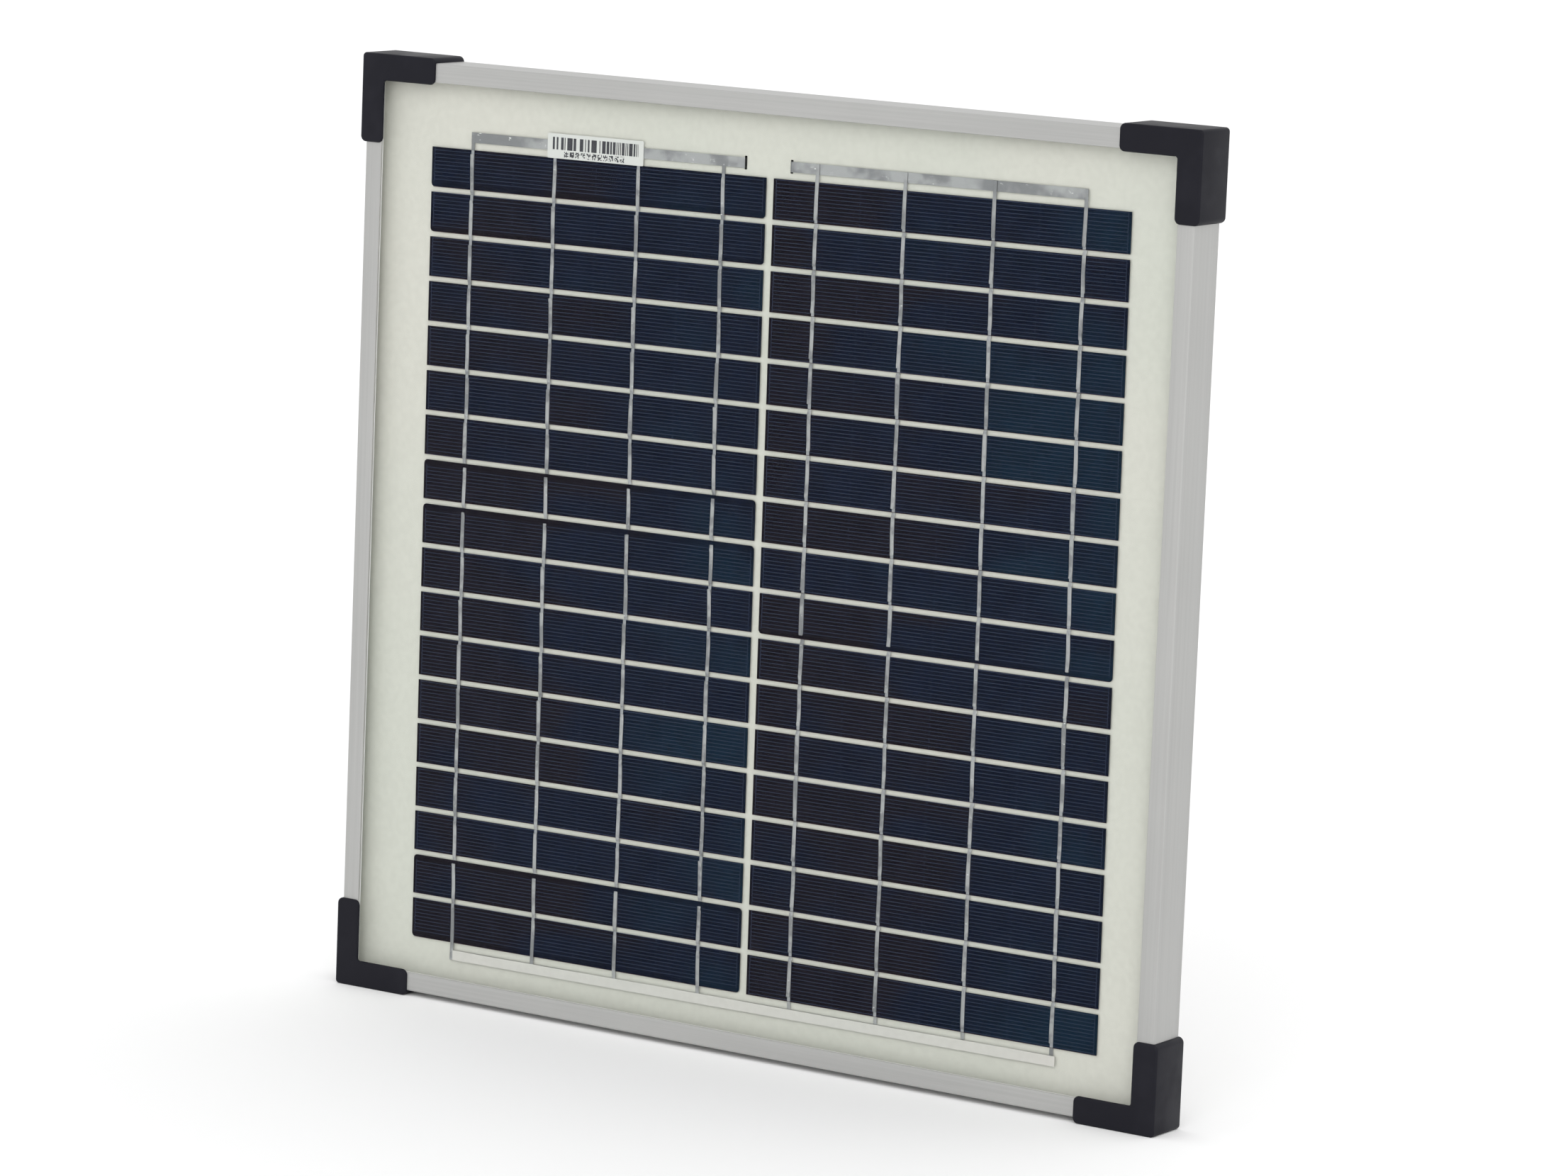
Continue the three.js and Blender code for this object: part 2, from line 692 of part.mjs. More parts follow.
// Flat lid with a rim inside the box, a barrel on the hinge side and a finger tab opposite.
function junctionBoxLid() {
  const c = lidClearance;
  const top = boxRim + lidThickness;
  const plate = box([boxLeft, boxRight], [boxRim, top], [boxBottom, boxTop]);
  const inset = boxWall + c;
  const rimBox = (grow, y) => box([boxLeft + inset + grow, boxRight - inset - grow], y,
    [boxBottom + inset + grow, boxTop - inset - grow]);
  const rim = rimBox(0, [boxRim - lidRim, boxRim + bite])
    .subtract(rimBox(lidRimWall, [boxRim - lidRim - past, boxRim]));
  const tab = box([boxLeft - lidTabReach, boxLeft + bite], [boxRim, top],
    [boxMiddleZ - lidTabWidth / 2, boxMiddleZ + lidTabWidth / 2]);
  const half = hingeBarrelLength / 2;
  const barrel = upright(hingeBarrelRadius, hingeBarrelLength, hingeX, hingeY, boxMiddleZ);
  const arm = box([boxRight - hingeRoot, hingeX], [boxRim, top], [boxMiddleZ - half, boxMiddleZ + half]);
  const bore = upright(hingePinRadius + hingeClearance, hingeBarrelLength + past, hingeX, hingeY,
    boxMiddleZ);
  return joined([plate, rim, tab, barrel, arm]).subtract(bore);
}

place(panel, 'junction_box_base', geometryOf(junctionBoxBase()), materials.blackPlastic);
place(panel, 'junction_box_lid', geometryOf(junctionBoxLid()), materials.blackPlastic);

// Gland: threaded neck through the wall, hexagon outside, and a bore for a two-core cable.
function cableGland() {
  const neckTop = boxBottom + boxWall;
  const neckBottom = boxBottom;
  const hexBottom = neckBottom - glandFlangeLength;
  const domeBottom = hexBottom - glandBodyLength;
  const tube = (radius, low, high, sides) => upright(radius, high - low, glandX, glandY,
    (low + high) / 2, sides);
  const across = glandHexAcross / 2 / Math.cos(Math.PI / 6);
  const body = joined([
    tube(glandNeckRadius, neckBottom - bite, neckTop, 24),
    tube(across, hexBottom, neckBottom, 6),
    tube(glandBodyRadius, domeBottom, hexBottom + bite, 24),
  ]);
  return body.subtract(tube(glandBore, domeBottom - past, neckTop + past, 24));
}

place(panel, 'cable_gland', geometryOf(cableGland()), materials.blackPlastic);

// Terminal plates either side of the diode, each standing on two feet on the box floor.
const floorBack = boxFront + boxFloor;
const plateFront = floorBack + terminalLift;
const plateBack = plateFront + terminalThickness;
const plateTop = boxTop - boxTopFromBus - busWidth - slitClearance - terminalGap;
const plateMiddle = plateTop - terminalHeight / 2;

function terminalPlate(x) {
  const half = terminalWidth / 2;
  const plate = slab(x, half, [plateFront, plateBack], plateMiddle, terminalHeight / 2);
  const feet = [-1, 1].map((side) => {
    const z = plateMiddle + side * (terminalHeight / 2 - terminalFoot);
    return slab(x, half / 2, [floorBack, plateFront], z, terminalFoot / 2);
  });
  const screwY = plateBack + screwHeight / 2 - terminalThickness / 4;
  const screw = solidOf(cylinder(screwRadius, screwHeight + terminalThickness / 2)
    .translate(x, screwY, plateMiddle - screwBelowMiddle));
  return joined([plate, ...feet, screw]);
}

const negativeTerminalX = negativeLeadX + sideShift - terminalWidth / 4;
const positiveTerminalX = positiveLeadX + sideShift + terminalWidth / 4;
const negativeTerminal = geometryOf(terminalPlate(negativeTerminalX));
const positiveTerminal = geometryOf(terminalPlate(positiveTerminalX));
place(panel, 'terminal_negative', negativeTerminal, materials.tinned);
place(panel, 'terminal_positive', positiveTerminal, materials.tinned);

// Axial diode bridging the two plates, its leads lying just above them.
function bypassDiode() {
  const middle = (negativeTerminalX + positiveTerminalX) / 2;
  const y = plateBack + diodeClearance + diodeLeadRadius;
  const z = plateMiddle + diodeAboveMiddle;
  const reach = positiveTerminalX - negativeTerminalX + terminalWidth / 2;
  const along = (radius, length) => {
    return solidOf(cylinder(radius, length).rotateZ(quarterTurn).translate(middle, y, z));
  };
  return joined([along(diodeRadius, diodeLength), along(diodeLeadRadius, reach)]);
}

place(panel, 'bypass_diode', geometryOf(bypassDiode()), materials.diodeBody);

export default panel;
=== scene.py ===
# Framed solar panel: two strings of cut cells behind glass, an aluminium frame with plastic
# corner pieces, and a junction box with a hinged lid on the back.
# Metres, X across, Z up, the glass faces -Y. Sizes in the dictionaries are in millimetres.
import json
import math

import bmesh
import bpy
import numpy as np
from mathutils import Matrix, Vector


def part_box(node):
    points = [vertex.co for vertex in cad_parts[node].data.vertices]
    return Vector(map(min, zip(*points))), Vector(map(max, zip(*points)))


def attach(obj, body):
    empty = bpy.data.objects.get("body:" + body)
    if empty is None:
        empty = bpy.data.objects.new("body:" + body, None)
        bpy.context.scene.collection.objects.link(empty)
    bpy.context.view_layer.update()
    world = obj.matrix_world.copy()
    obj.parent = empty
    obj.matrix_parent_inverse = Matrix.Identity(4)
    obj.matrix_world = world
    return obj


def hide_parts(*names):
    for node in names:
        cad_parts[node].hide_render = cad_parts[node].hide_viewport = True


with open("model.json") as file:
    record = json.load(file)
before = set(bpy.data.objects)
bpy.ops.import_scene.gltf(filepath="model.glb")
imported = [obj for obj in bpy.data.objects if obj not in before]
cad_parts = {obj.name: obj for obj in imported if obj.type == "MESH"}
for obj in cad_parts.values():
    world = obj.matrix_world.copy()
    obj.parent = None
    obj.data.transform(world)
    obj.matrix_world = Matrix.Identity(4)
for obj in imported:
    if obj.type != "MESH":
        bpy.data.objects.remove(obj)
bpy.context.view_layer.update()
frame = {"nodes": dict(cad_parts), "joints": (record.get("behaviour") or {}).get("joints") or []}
mm = 0.001
print("frame loaded with", len(frame["nodes"]), "solids")


# ---- meshes from arrays

def gridQuads(rows, columns, wrap=True):
    # quad (i, j) joins points (i, j), (i, j+1), (i+1, j+1), (i+1, j); wrap closes j on itself
    i, j = np.meshgrid(np.arange(rows - 1), np.arange(columns if wrap else columns - 1), indexing="ij")
    k = (j + 1) % columns
    quads = [i * columns + j, i * columns + k, (i + 1) * columns + k, (i + 1) * columns + j]
    return np.stack(quads, axis=-1).reshape(-1, 4)


def nodeBox(node):
    # lowest and highest corners of a CAD node, in millimetres
    return [np.array(point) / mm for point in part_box(node)]


def tubeFaces(rows, columns, first=0):
    # side quads of a closed tube of rings, and one face over each end
    quads = (gridQuads(rows, columns) + first).tolist()
    low = list(range(first, first + columns))
    high = [n + (rows - 1) * columns for n in low]
    return quads + [low[::-1], high]


def addPiece(name, points, faces, material, smooth=35, plan=None):
    # points in millimetres; faces are turned round if the closed shape is inside out
    mesh = bpy.data.meshes.new(name)
    mesh.from_pydata((np.asarray(points) * mm).tolist(), [], faces)
    body = bmesh.new()
    body.from_mesh(mesh)
    if body.calc_volume(signed=True) < 0:
        bmesh.ops.reverse_faces(body, faces=body.faces)
    body.to_mesh(mesh)
    body.free()
    if plan is not None:
        corners = np.zeros(len(mesh.loops), dtype=np.int32)
        mesh.loops.foreach_get("vertex_index", corners)
        layer = mesh.uv_layers.new(name="plan")
        layer.data.foreach_set("uv", np.asarray(plan, dtype=np.float32)[corners].ravel())
    mesh.polygons.foreach_set("use_smooth", np.ones(len(mesh.polygons), dtype=bool))
    mesh.set_sharp_from_angle(angle=math.radians(smooth))
    mesh.materials.append(material)
    piece = bpy.data.objects.new(name, mesh)
    bpy.context.scene.collection.objects.link(piece)
    return piece


def setNumber(piece, name, value):
    # one number for the whole piece, kept as a point attribute for its material
    layer = piece.data.attributes.new(name, "FLOAT", "POINT")
    layer.data.foreach_set("value", np.full(len(piece.data.vertices), value, dtype=np.float32))


def finishPiece(piece, slot, body, *standsFor):
    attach(piece, body)
    if standsFor:
        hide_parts(*standsFor)
    return piece


def roundedOutline(corners, radii, steps=6):
    # every corner becomes an arc, p = c + r (cos t, sin t); corners run anticlockwise
    corners = np.asarray(corners, dtype=float)
    radii = np.broadcast_to(np.asarray(radii, dtype=float), (len(corners),))
    places, outward = [], []
    for n, here in enumerate(corners):
        back = corners[n - 1] - here
        ahead = corners[(n + 1) % len(corners)] - here
        back, ahead = back / np.linalg.norm(back), ahead / np.linalg.norm(ahead)
        halfAngle = math.acos(np.clip(back @ ahead, -1, 1)) / 2
        inward = (back + ahead) / np.linalg.norm(back + ahead)
        centre = here + inward * radii[n] / math.sin(halfAngle)
        hollow = back[0] * ahead[1] - back[1] * ahead[0] > 0
        reach = radii[n] / math.tan(halfAngle)
        start, end = here + back * reach - centre, here + ahead * reach - centre
        first, last = math.atan2(start[1], start[0]), math.atan2(end[1], end[0])
        turn = (last - first + math.pi) % (2 * math.pi) - math.pi
        t = first + turn * np.linspace(0, 1, steps + 1)
        arc = np.stack([np.cos(t), np.sin(t)], axis=-1)
        places.append(centre + radii[n] * arc)
        outward.append(-arc if hollow else arc)
    return np.concatenate(places), np.concatenate(outward)


def ringsShell(outline, rings):
    # ring k sits at depth d_k and is drawn in by e_k: (x - e_k nx, d_k, z - e_k nz)
    places, outward = outline
    inset, depth = np.asarray(rings, dtype=float).T
    flat = places[None] - inset[:, None, None] * outward[None]
    depths = np.broadcast_to(depth[:, None], flat.shape[:2])
    points = np.stack([flat[..., 0], depths, flat[..., 1]], axis=-1)
    return points.reshape(-1, 3), tubeFaces(len(rings), len(places))


def sweptRing(places, outward, section):
    # a closed section (e_k, d_k) carried round an outline, its last row joined to its first
    flat = places[None] - section[:, 0, None, None] * outward[None]
    depths = np.broadcast_to(section[:, 1, None], flat.shape[:2])
    points = np.stack([flat[..., 0], depths, flat[..., 1]], axis=-1).reshape(-1, 3)
    return points, (gridQuads(len(section) + 1, len(places)) % len(points)).tolist()


def roundedRings(front, back, frontRound, backRound, steps=4):
    # quarter circles e = r (1 - sin t), d = front + r (1 - cos t), with a flat ring inside each
    t = np.linspace(0, math.pi / 2, steps + 1)
    near = np.stack([frontRound * (1 - np.sin(t)), front + frontRound * (1 - np.cos(t))], -1)
    far = np.stack([backRound * (1 - np.sin(t)), back - backRound * (1 - np.cos(t))], -1)[::-1]
    margin = 0.35 * min(frontRound, backRound)
    return np.concatenate([[[frontRound + margin, front]], near, far, [[backRound + margin, back]]])


def rectangle(x, z):
    return [(x[0], z[0]), (x[1], z[0]), (x[1], z[1]), (x[0], z[1])]


def cutAway(piece, cutters, operation="DIFFERENCE"):
    # the cutters are taken out of the piece, or joined to it, and removed
    for cutter in cutters:
        change = piece.modifiers.new("cut", "BOOLEAN")
        change.operation, change.solver, change.object = operation, "EXACT", cutter
    seen = piece.evaluated_get(bpy.context.evaluated_depsgraph_get())
    mesh = bpy.data.meshes.new_from_object(seen)
    old = piece.data
    piece.modifiers.clear()
    piece.data = mesh
    mesh.name = piece.name
    bpy.data.meshes.remove(old)
    for cutter in cutters:
        bpy.data.objects.remove(cutter)
    mesh.polygons.foreach_set("use_smooth", np.ones(len(mesh.polygons), dtype=bool))
    mesh.set_sharp_from_angle(angle=math.radians(35))
    return piece


# ---- nodes

def addNode(tree, kind, **settings):
    node = tree.nodes.new(kind)
    for key, value in settings.items():
        setattr(node, key, value)
    return node


def feed(tree, socket, value):
    if isinstance(value, bpy.types.NodeSocket):
        tree.links.new(value, socket)
    else:
        socket.default_value = value


def sums(tree, operation, *values):
    node = addNode(tree, "ShaderNodeMath", operation=operation)
    for socket, value in zip(node.inputs, values):
        feed(tree, socket, value)
    return node.outputs[0]


def ramp(tree, value, low, high, atLow=0.0, atHigh=1.0):
    # smooth step of a value from one limit to another
    node = addNode(tree, "ShaderNodeMapRange", interpolation_type="SMOOTHSTEP")
    for socket, number in zip(node.inputs, (value, low, high, atLow, atHigh)):
        feed(tree, socket, number)
    return node.outputs[0]


def blendColour(tree, factor, first, second, mode="MIX"):
    node = addNode(tree, "ShaderNodeMix", data_type="RGBA", blend_type=mode)
    feed(tree, node.inputs[0], factor)
    for socket, colour in zip(node.inputs[6:8], (first, second)):
        feed(tree, socket, colour if isinstance(colour, bpy.types.NodeSocket) else (*colour, 1.0))
    return node.outputs[2]


def noise(tree, where, scale, detail=2.0, roughness=0.5, stretch=None):
    if stretch:
        mapping = addNode(tree, "ShaderNodeMapping")
        feed(tree, mapping.inputs["Vector"], where)
        mapping.inputs["Scale"].default_value = stretch
        where = mapping.outputs[0]
    node = addNode(tree, "ShaderNodeTexNoise")
    feed(tree, node.inputs["Vector"], where)
    node.inputs["Scale"].default_value = scale
    node.inputs["Detail"].default_value = detail
    node.inputs["Roughness"].default_value = roughness
    return node.outputs[0]


def objectPlace(tree):
    return addNode(tree, "ShaderNodeTexCoord").outputs["Object"]


def bumpOf(tree, height, distance, strength=1.0):
    node = addNode(tree, "ShaderNodeBump")
    node.inputs["Strength"].default_value = strength
    node.inputs["Distance"].default_value = distance
    feed(tree, node.inputs["Height"], height)
    return node.outputs[0]


def startMaterial(name, base, roughness, metallic=0.0, specular=0.5):
    material = bpy.data.materials.new(name)
    material.use_nodes = True
    shader = material.node_tree.nodes["Principled BSDF"]
    shader.inputs["Base Color"].default_value = (*base, 1.0)
    shader.inputs["Roughness"].default_value = roughness
    shader.inputs["Metallic"].default_value = metallic
    shader.inputs["Specular IOR Level"].default_value = specular
    return material, material.node_tree, shader


# ---- materials

waferLook = {
    "navy": (0.0036, 0.0060, 0.0160),
    "brown": (0.0072, 0.0058, 0.0100),
    "teal": (0.0034, 0.0120, 0.0250),
    "finger": (0.032, 0.042, 0.078),
    # painted lens fringe: a dark reddish line along the lower edge of every cell, not a colour of the
    # cut edge
    "print": (0.30, 0.31, 0.33),
    "lowerEdgeFringe": (0.042, 0.014, 0.018),
    "length": 156.75, "busbars": 4,
    "fingerPitch": 1.43, "fingerWidth": 0.16, "border": 1.3,
    "dash": 2.86, "dashWidth": 0.10, "busbarWidth": 1.25,
    "roughness": 0.38, "specular": 0.06,
}


def waferMaterial():
    look = waferLook
    material, tree, shader = startMaterial("cellSilicon", look["navy"], look["roughness"],
                                           specular=look["specular"])
    plan = addNode(tree, "ShaderNodeUVMap", uv_map="plan")
    split = addNode(tree, "ShaderNodeSeparateXYZ")
    feed(tree, split.inputs[0], plan.outputs[0])
    along, up = split.outputs[0], split.outputs[1]
    seed = addNode(tree, "ShaderNodeAttribute", attribute_name="cellSeed").outputs["Fac"]
    low = addNode(tree, "ShaderNodeAttribute", attribute_name="printLow").outputs["Fac"]
    high = addNode(tree, "ShaderNodeAttribute", attribute_name="printHigh").outputs["Fac"]
    half, pitch = look["length"] / 2, look["length"] / look["busbars"]

    # tint drifts along the cell, changes a little at every busbar and differs from cell to cell
    spot = addNode(tree, "ShaderNodeCombineXYZ")
    feed(tree, spot.inputs[0], sums(tree, "MULTIPLY", along, 0.011))
    feed(tree, spot.inputs[1], sums(tree, "MULTIPLY", up, 0.022))
    feed(tree, spot.inputs[2], sums(tree, "MULTIPLY", seed, 9.0))
    bay = sums(tree, "FLOOR", sums(tree, "ADD", sums(tree, "DIVIDE", along, pitch), 0.5))
    hashed = addNode(tree, "ShaderNodeTexWhiteNoise", noise_dimensions="2D")
    pair = addNode(tree, "ShaderNodeCombineXYZ")
    feed(tree, pair.inputs[0], bay)
    feed(tree, pair.inputs[1], seed)
    feed(tree, hashed.inputs["Vector"], pair.outputs[0])
    drift = noise(tree, spot.outputs[0], 1.0, 1.5)
    lean = sums(tree, "MULTIPLY", sums(tree, "DIVIDE", along, look["length"]), 0.30)
    mixed = sums(tree, "ADD", drift, sums(tree, "ADD", lean, -0.13))
    mixed = sums(tree, "ADD", mixed, sums(tree, "MULTIPLY", hashed.outputs[0], 0.10))
    warm = ramp(tree, mixed, 0.42, 0.56, 1.0, 0.0)
    cold = ramp(tree, mixed, 0.62, 0.82)
    tint = blendColour(tree, warm, look["navy"], look["brown"])
    tint = blendColour(tree, cold, tint, look["teal"])
    grains = addNode(tree, "ShaderNodeTexVoronoi")
    grainSpot = addNode(tree, "ShaderNodeVectorMath", operation="ADD")
    feed(tree, grainSpot.inputs[0], plan.outputs[0])
    feed(tree, grainSpot.inputs[1], spot.outputs[0])
    feed(tree, grains.inputs["Vector"], grainSpot.outputs[0])
    grains.inputs["Scale"].default_value = 0.16
    shade = addNode(tree, "ShaderNodeSeparateColor")
    feed(tree, shade.inputs[0], grains.outputs["Color"])
    grainShade = ramp(tree, shade.outputs[0], 0.0, 1.0, 0.88, 1.14)
    tint = blendColour(tree, 1.0, tint, grainShade, "MULTIPLY")

    # printed silver: fingers, the line that joins their ends, a dashed line between busbars
    fromMiddle = sums(tree, "ABSOLUTE", sums(tree, "SUBTRACT", along, half))
    inside = ramp(tree, fromMiddle, half - look["border"], half - look["border"] + 0.05, 1.0, 0.0)
    printed = sums(tree, "MULTIPLY", sums(tree, "GREATER_THAN", up, low),
                   sums(tree, "LESS_THAN", up, high))

    def lineMask(distance, width, soft=0.09):
        return ramp(tree, distance, width / 2, width / 2 + soft, 1.0, 0.0)

    row = sums(tree, "FRACT", sums(tree, "ADD", sums(tree, "DIVIDE", up, look["fingerPitch"]), seed))
    fromFinger = sums(tree, "MULTIPLY", sums(tree, "ABSOLUTE", sums(tree, "SUBTRACT", row, 0.5)),
                      look["fingerPitch"])
    fingers = sums(tree, "MULTIPLY", lineMask(fromFinger, look["fingerWidth"]), inside)
    fromBorder = sums(tree, "ABSOLUTE", sums(tree, "SUBTRACT", fromMiddle, half - look["border"]))
    border = lineMask(fromBorder, look["fingerWidth"])
    place = sums(tree, "FRACT", sums(tree, "DIVIDE", along, pitch))
    fromBusbar = sums(tree, "MULTIPLY", sums(tree, "ABSOLUTE", sums(tree, "SUBTRACT", place, 0.5)),
                      pitch)
    fromMidway = sums(tree, "SUBTRACT", pitch / 2, fromBusbar)
    dashes = sums(tree, "LESS_THAN", sums(tree, "FRACT", sums(tree, "DIVIDE", up, look["dash"])), 0.5)
    midway = sums(tree, "MULTIPLY", sums(tree, "MULTIPLY", lineMask(fromMidway, look["dashWidth"]),
                                         dashes), inside)
    lines = sums(tree, "MAXIMUM", fingers, sums(tree, "MAXIMUM", border, midway))
    worn = ramp(tree, noise(tree, plan.outputs[0], 0.10, 2.0), 0.3, 0.7, 0.7, 1.0)
    lines = sums(tree, "MULTIPLY", sums(tree, "MULTIPLY", lines, worn), printed)
    busbar = sums(tree, "MULTIPLY", lineMask(fromBusbar, look["busbarWidth"]), printed)
    colour = blendColour(tree, lines, tint, look["finger"])
    colour = blendColour(tree, busbar, colour, look["print"])
    # a painted lens fringe, dark and reddish, laid along the lower edge of every cell; the wafer's cut
    # edge has no such colour
    colour = blendColour(tree, ramp(tree, up, 0.10, 0.30, 0.8, 0.0), colour, look["lowerEdgeFringe"])
    feed(tree, shader.inputs["Base Color"], colour)
    return material


metalLook = {"base": (0.40, 0.405, 0.42), "dull": (0.25, 0.255, 0.27), "bright": (0.88, 0.89, 0.90),
             "roughness": 0.34}


def tinnedMaterial(name, patches):
    # solder-dipped copper: rolled grain, dull patches and bright smears
    material, tree, shader = startMaterial(name, metalLook["base"], metalLook["roughness"], 0.9)
    where = objectPlace(tree)
    patch = ramp(tree, noise(tree, where, patches, 3.0, 0.6), 0.42, 0.62)
    smear = ramp(tree, noise(tree, where, patches * 4, 4.0, 0.7, (1.0, 1.0, 2.2)), 0.63, 0.71)
    colour = blendColour(tree, patch, metalLook["base"], metalLook["dull"])
    colour = blendColour(tree, smear, colour, metalLook["bright"])
    feed(tree, shader.inputs["Base Color"], colour)
    feed(tree, shader.inputs["Roughness"], ramp(tree, patch, 0.0, 1.0, 0.30, 0.46))
    fine = noise(tree, where, 900.0, 3.0, 0.6)
    broad = noise(tree, where, 260.0, 2.0)
    height = sums(tree, "ADD", fine, sums(tree, "MULTIPLY", broad, 2.0))
    feed(tree, shader.inputs["Normal"], bumpOf(tree, height, 0.00008, 0.7))
    return material


def sheetMaterial(name, base, second, roughness=0.55):
    # matt film with a broad, barely visible drift of tone and a fine pebble
    material, tree, shader = startMaterial(name, base, roughness)
    where = objectPlace(tree)
    drift = ramp(tree, noise(tree, where, 5.0, 2.0), 0.35, 0.65)
    fleck = ramp(tree, noise(tree, where, 420.0, 3.0, 0.6), 0.35, 0.65, 0.975, 1.02)
    colour = blendColour(tree, drift, base, second)
    feed(tree, shader.inputs["Base Color"], blendColour(tree, 1.0, colour, fleck, "MULTIPLY"))
    feed(tree, shader.inputs["Normal"], bumpOf(tree, noise(tree, where, 700.0, 2.0), 0.00003, 0.5))
    return material


aluminiumLook = {"base": (0.425, 0.425, 0.415), "shade": (0.39, 0.39, 0.382), "roughness": 0.46}


def aluminiumMaterial(name, stretch):
    # satin anodised extrusion: drawing lines along the rail and an etched grain
    material, tree, shader = startMaterial(name, aluminiumLook["base"],
                                           aluminiumLook["roughness"], 0.55)
    where = objectPlace(tree)
    lines = noise(tree, where, 1.0, 4.0, 0.7, stretch)
    cloud = ramp(tree, noise(tree, where, 18.0, 2.0), 0.35, 0.65)
    colour = blendColour(tree, sums(tree, "MULTIPLY", cloud, 0.35), aluminiumLook["base"],
                         aluminiumLook["shade"])
    colour = blendColour(tree, 1.0, colour, ramp(tree, lines, 0.3, 0.7, 0.95, 1.04), "MULTIPLY")
    feed(tree, shader.inputs["Base Color"], colour)
    feed(tree, shader.inputs["Roughness"], ramp(tree, lines, 0.3, 0.7, 0.38, 0.48))
    etched = noise(tree, where, 1600.0, 2.0)
    height = sums(tree, "ADD", sums(tree, "MULTIPLY", lines, 0.6), etched)
    feed(tree, shader.inputs["Normal"], bumpOf(tree, height, 0.00002, 0.6))
    return material


def plasticMaterial(name, base, roughness, grain=0.00005, specular=0.13):
    # moulded plastic: spark-eroded grain, slight rub marks
    material, tree, shader = startMaterial(name, base, roughness, specular=specular)
    where = objectPlace(tree)
    rubbed = ramp(tree, noise(tree, where, 45.0, 3.0, 0.6), 0.45, 0.75)
    lighter = tuple(min(1.0, channel * 1.35 + 0.004) for channel in base)
    colour = blendColour(tree, sums(tree, "MULTIPLY", rubbed, 0.5), base, lighter)
    feed(tree, shader.inputs["Base Color"], colour)
    feed(tree, shader.inputs["Roughness"], ramp(tree, rubbed, 0.0, 1.0, roughness,
                                                roughness - 0.08))
    height = noise(tree, where, 1900.0, 3.0, 0.6)
    feed(tree, shader.inputs["Normal"], bumpOf(tree, height, grain, 0.8))
    return material


glassLook = {"tint": (0.985, 0.992, 0.985), "mirror": (1.0, 1.0, 1.0), "roughness": 0.12, "ior": 1.09}


def glassMaterial():
    # lets everything through, with a faint mirror on the side that faces out
    material = bpy.data.materials.new("coverGlass")
    material.use_nodes = True
    tree = material.node_tree
    tree.nodes.remove(tree.nodes["Principled BSDF"])
    clear = addNode(tree, "ShaderNodeBsdfTransparent")
    clear.inputs[0].default_value = (*glassLook["tint"], 1.0)
    mirror = addNode(tree, "ShaderNodeBsdfGlossy")
    mirror.inputs["Color"].default_value = (*glassLook["mirror"], 1.0)
    mirror.inputs["Roughness"].default_value = glassLook["roughness"]
    bounce = addNode(tree, "ShaderNodeFresnel")
    bounce.inputs["IOR"].default_value = glassLook["ior"]
    ripple = bumpOf(tree, noise(tree, objectPlace(tree), 500.0, 2.0), 0.00002, 0.25)
    feed(tree, mirror.inputs["Normal"], ripple)
    outside = sums(tree, "SUBTRACT", 1.0, addNode(tree, "ShaderNodeNewGeometry").outputs["Backfacing"])
    both = addNode(tree, "ShaderNodeMixShader")
    feed(tree, both.inputs[0], sums(tree, "MULTIPLY", bounce.outputs[0], outside))
    feed(tree, both.inputs[1], clear.outputs[0])
    feed(tree, both.inputs[2], mirror.outputs[0])
    feed(tree, tree.nodes["Material Output"].inputs[0], both.outputs[0])
    return material


def clearMaterial():
    # cured encapsulant, bonded on both sides so that it mirrors nothing
    material = bpy.data.materials.new("clearEncapsulant")
    material.use_nodes = True
    tree = material.node_tree
    tree.nodes.remove(tree.nodes["Principled BSDF"])
    clear = addNode(tree, "ShaderNodeBsdfTransparent")
    clear.inputs[0].default_value = (0.998, 0.998, 0.992, 1.0)
    feed(tree, tree.nodes["Material Output"].inputs[0], clear.outputs[0])
    return material


labelLook = {
    "paper": (0.60, 0.605, 0.60), "ink": (0.035, 0.035, 0.045),
    "barsFrom": (2.4, 3.4), "barsTo": (42.6, 8.2), "barStep": 0.42,
    "codeFrom": (7.8, 0.6), "codeTo": (36.6, 2.9), "codePitch": 2.62, "dot": 0.46,
}


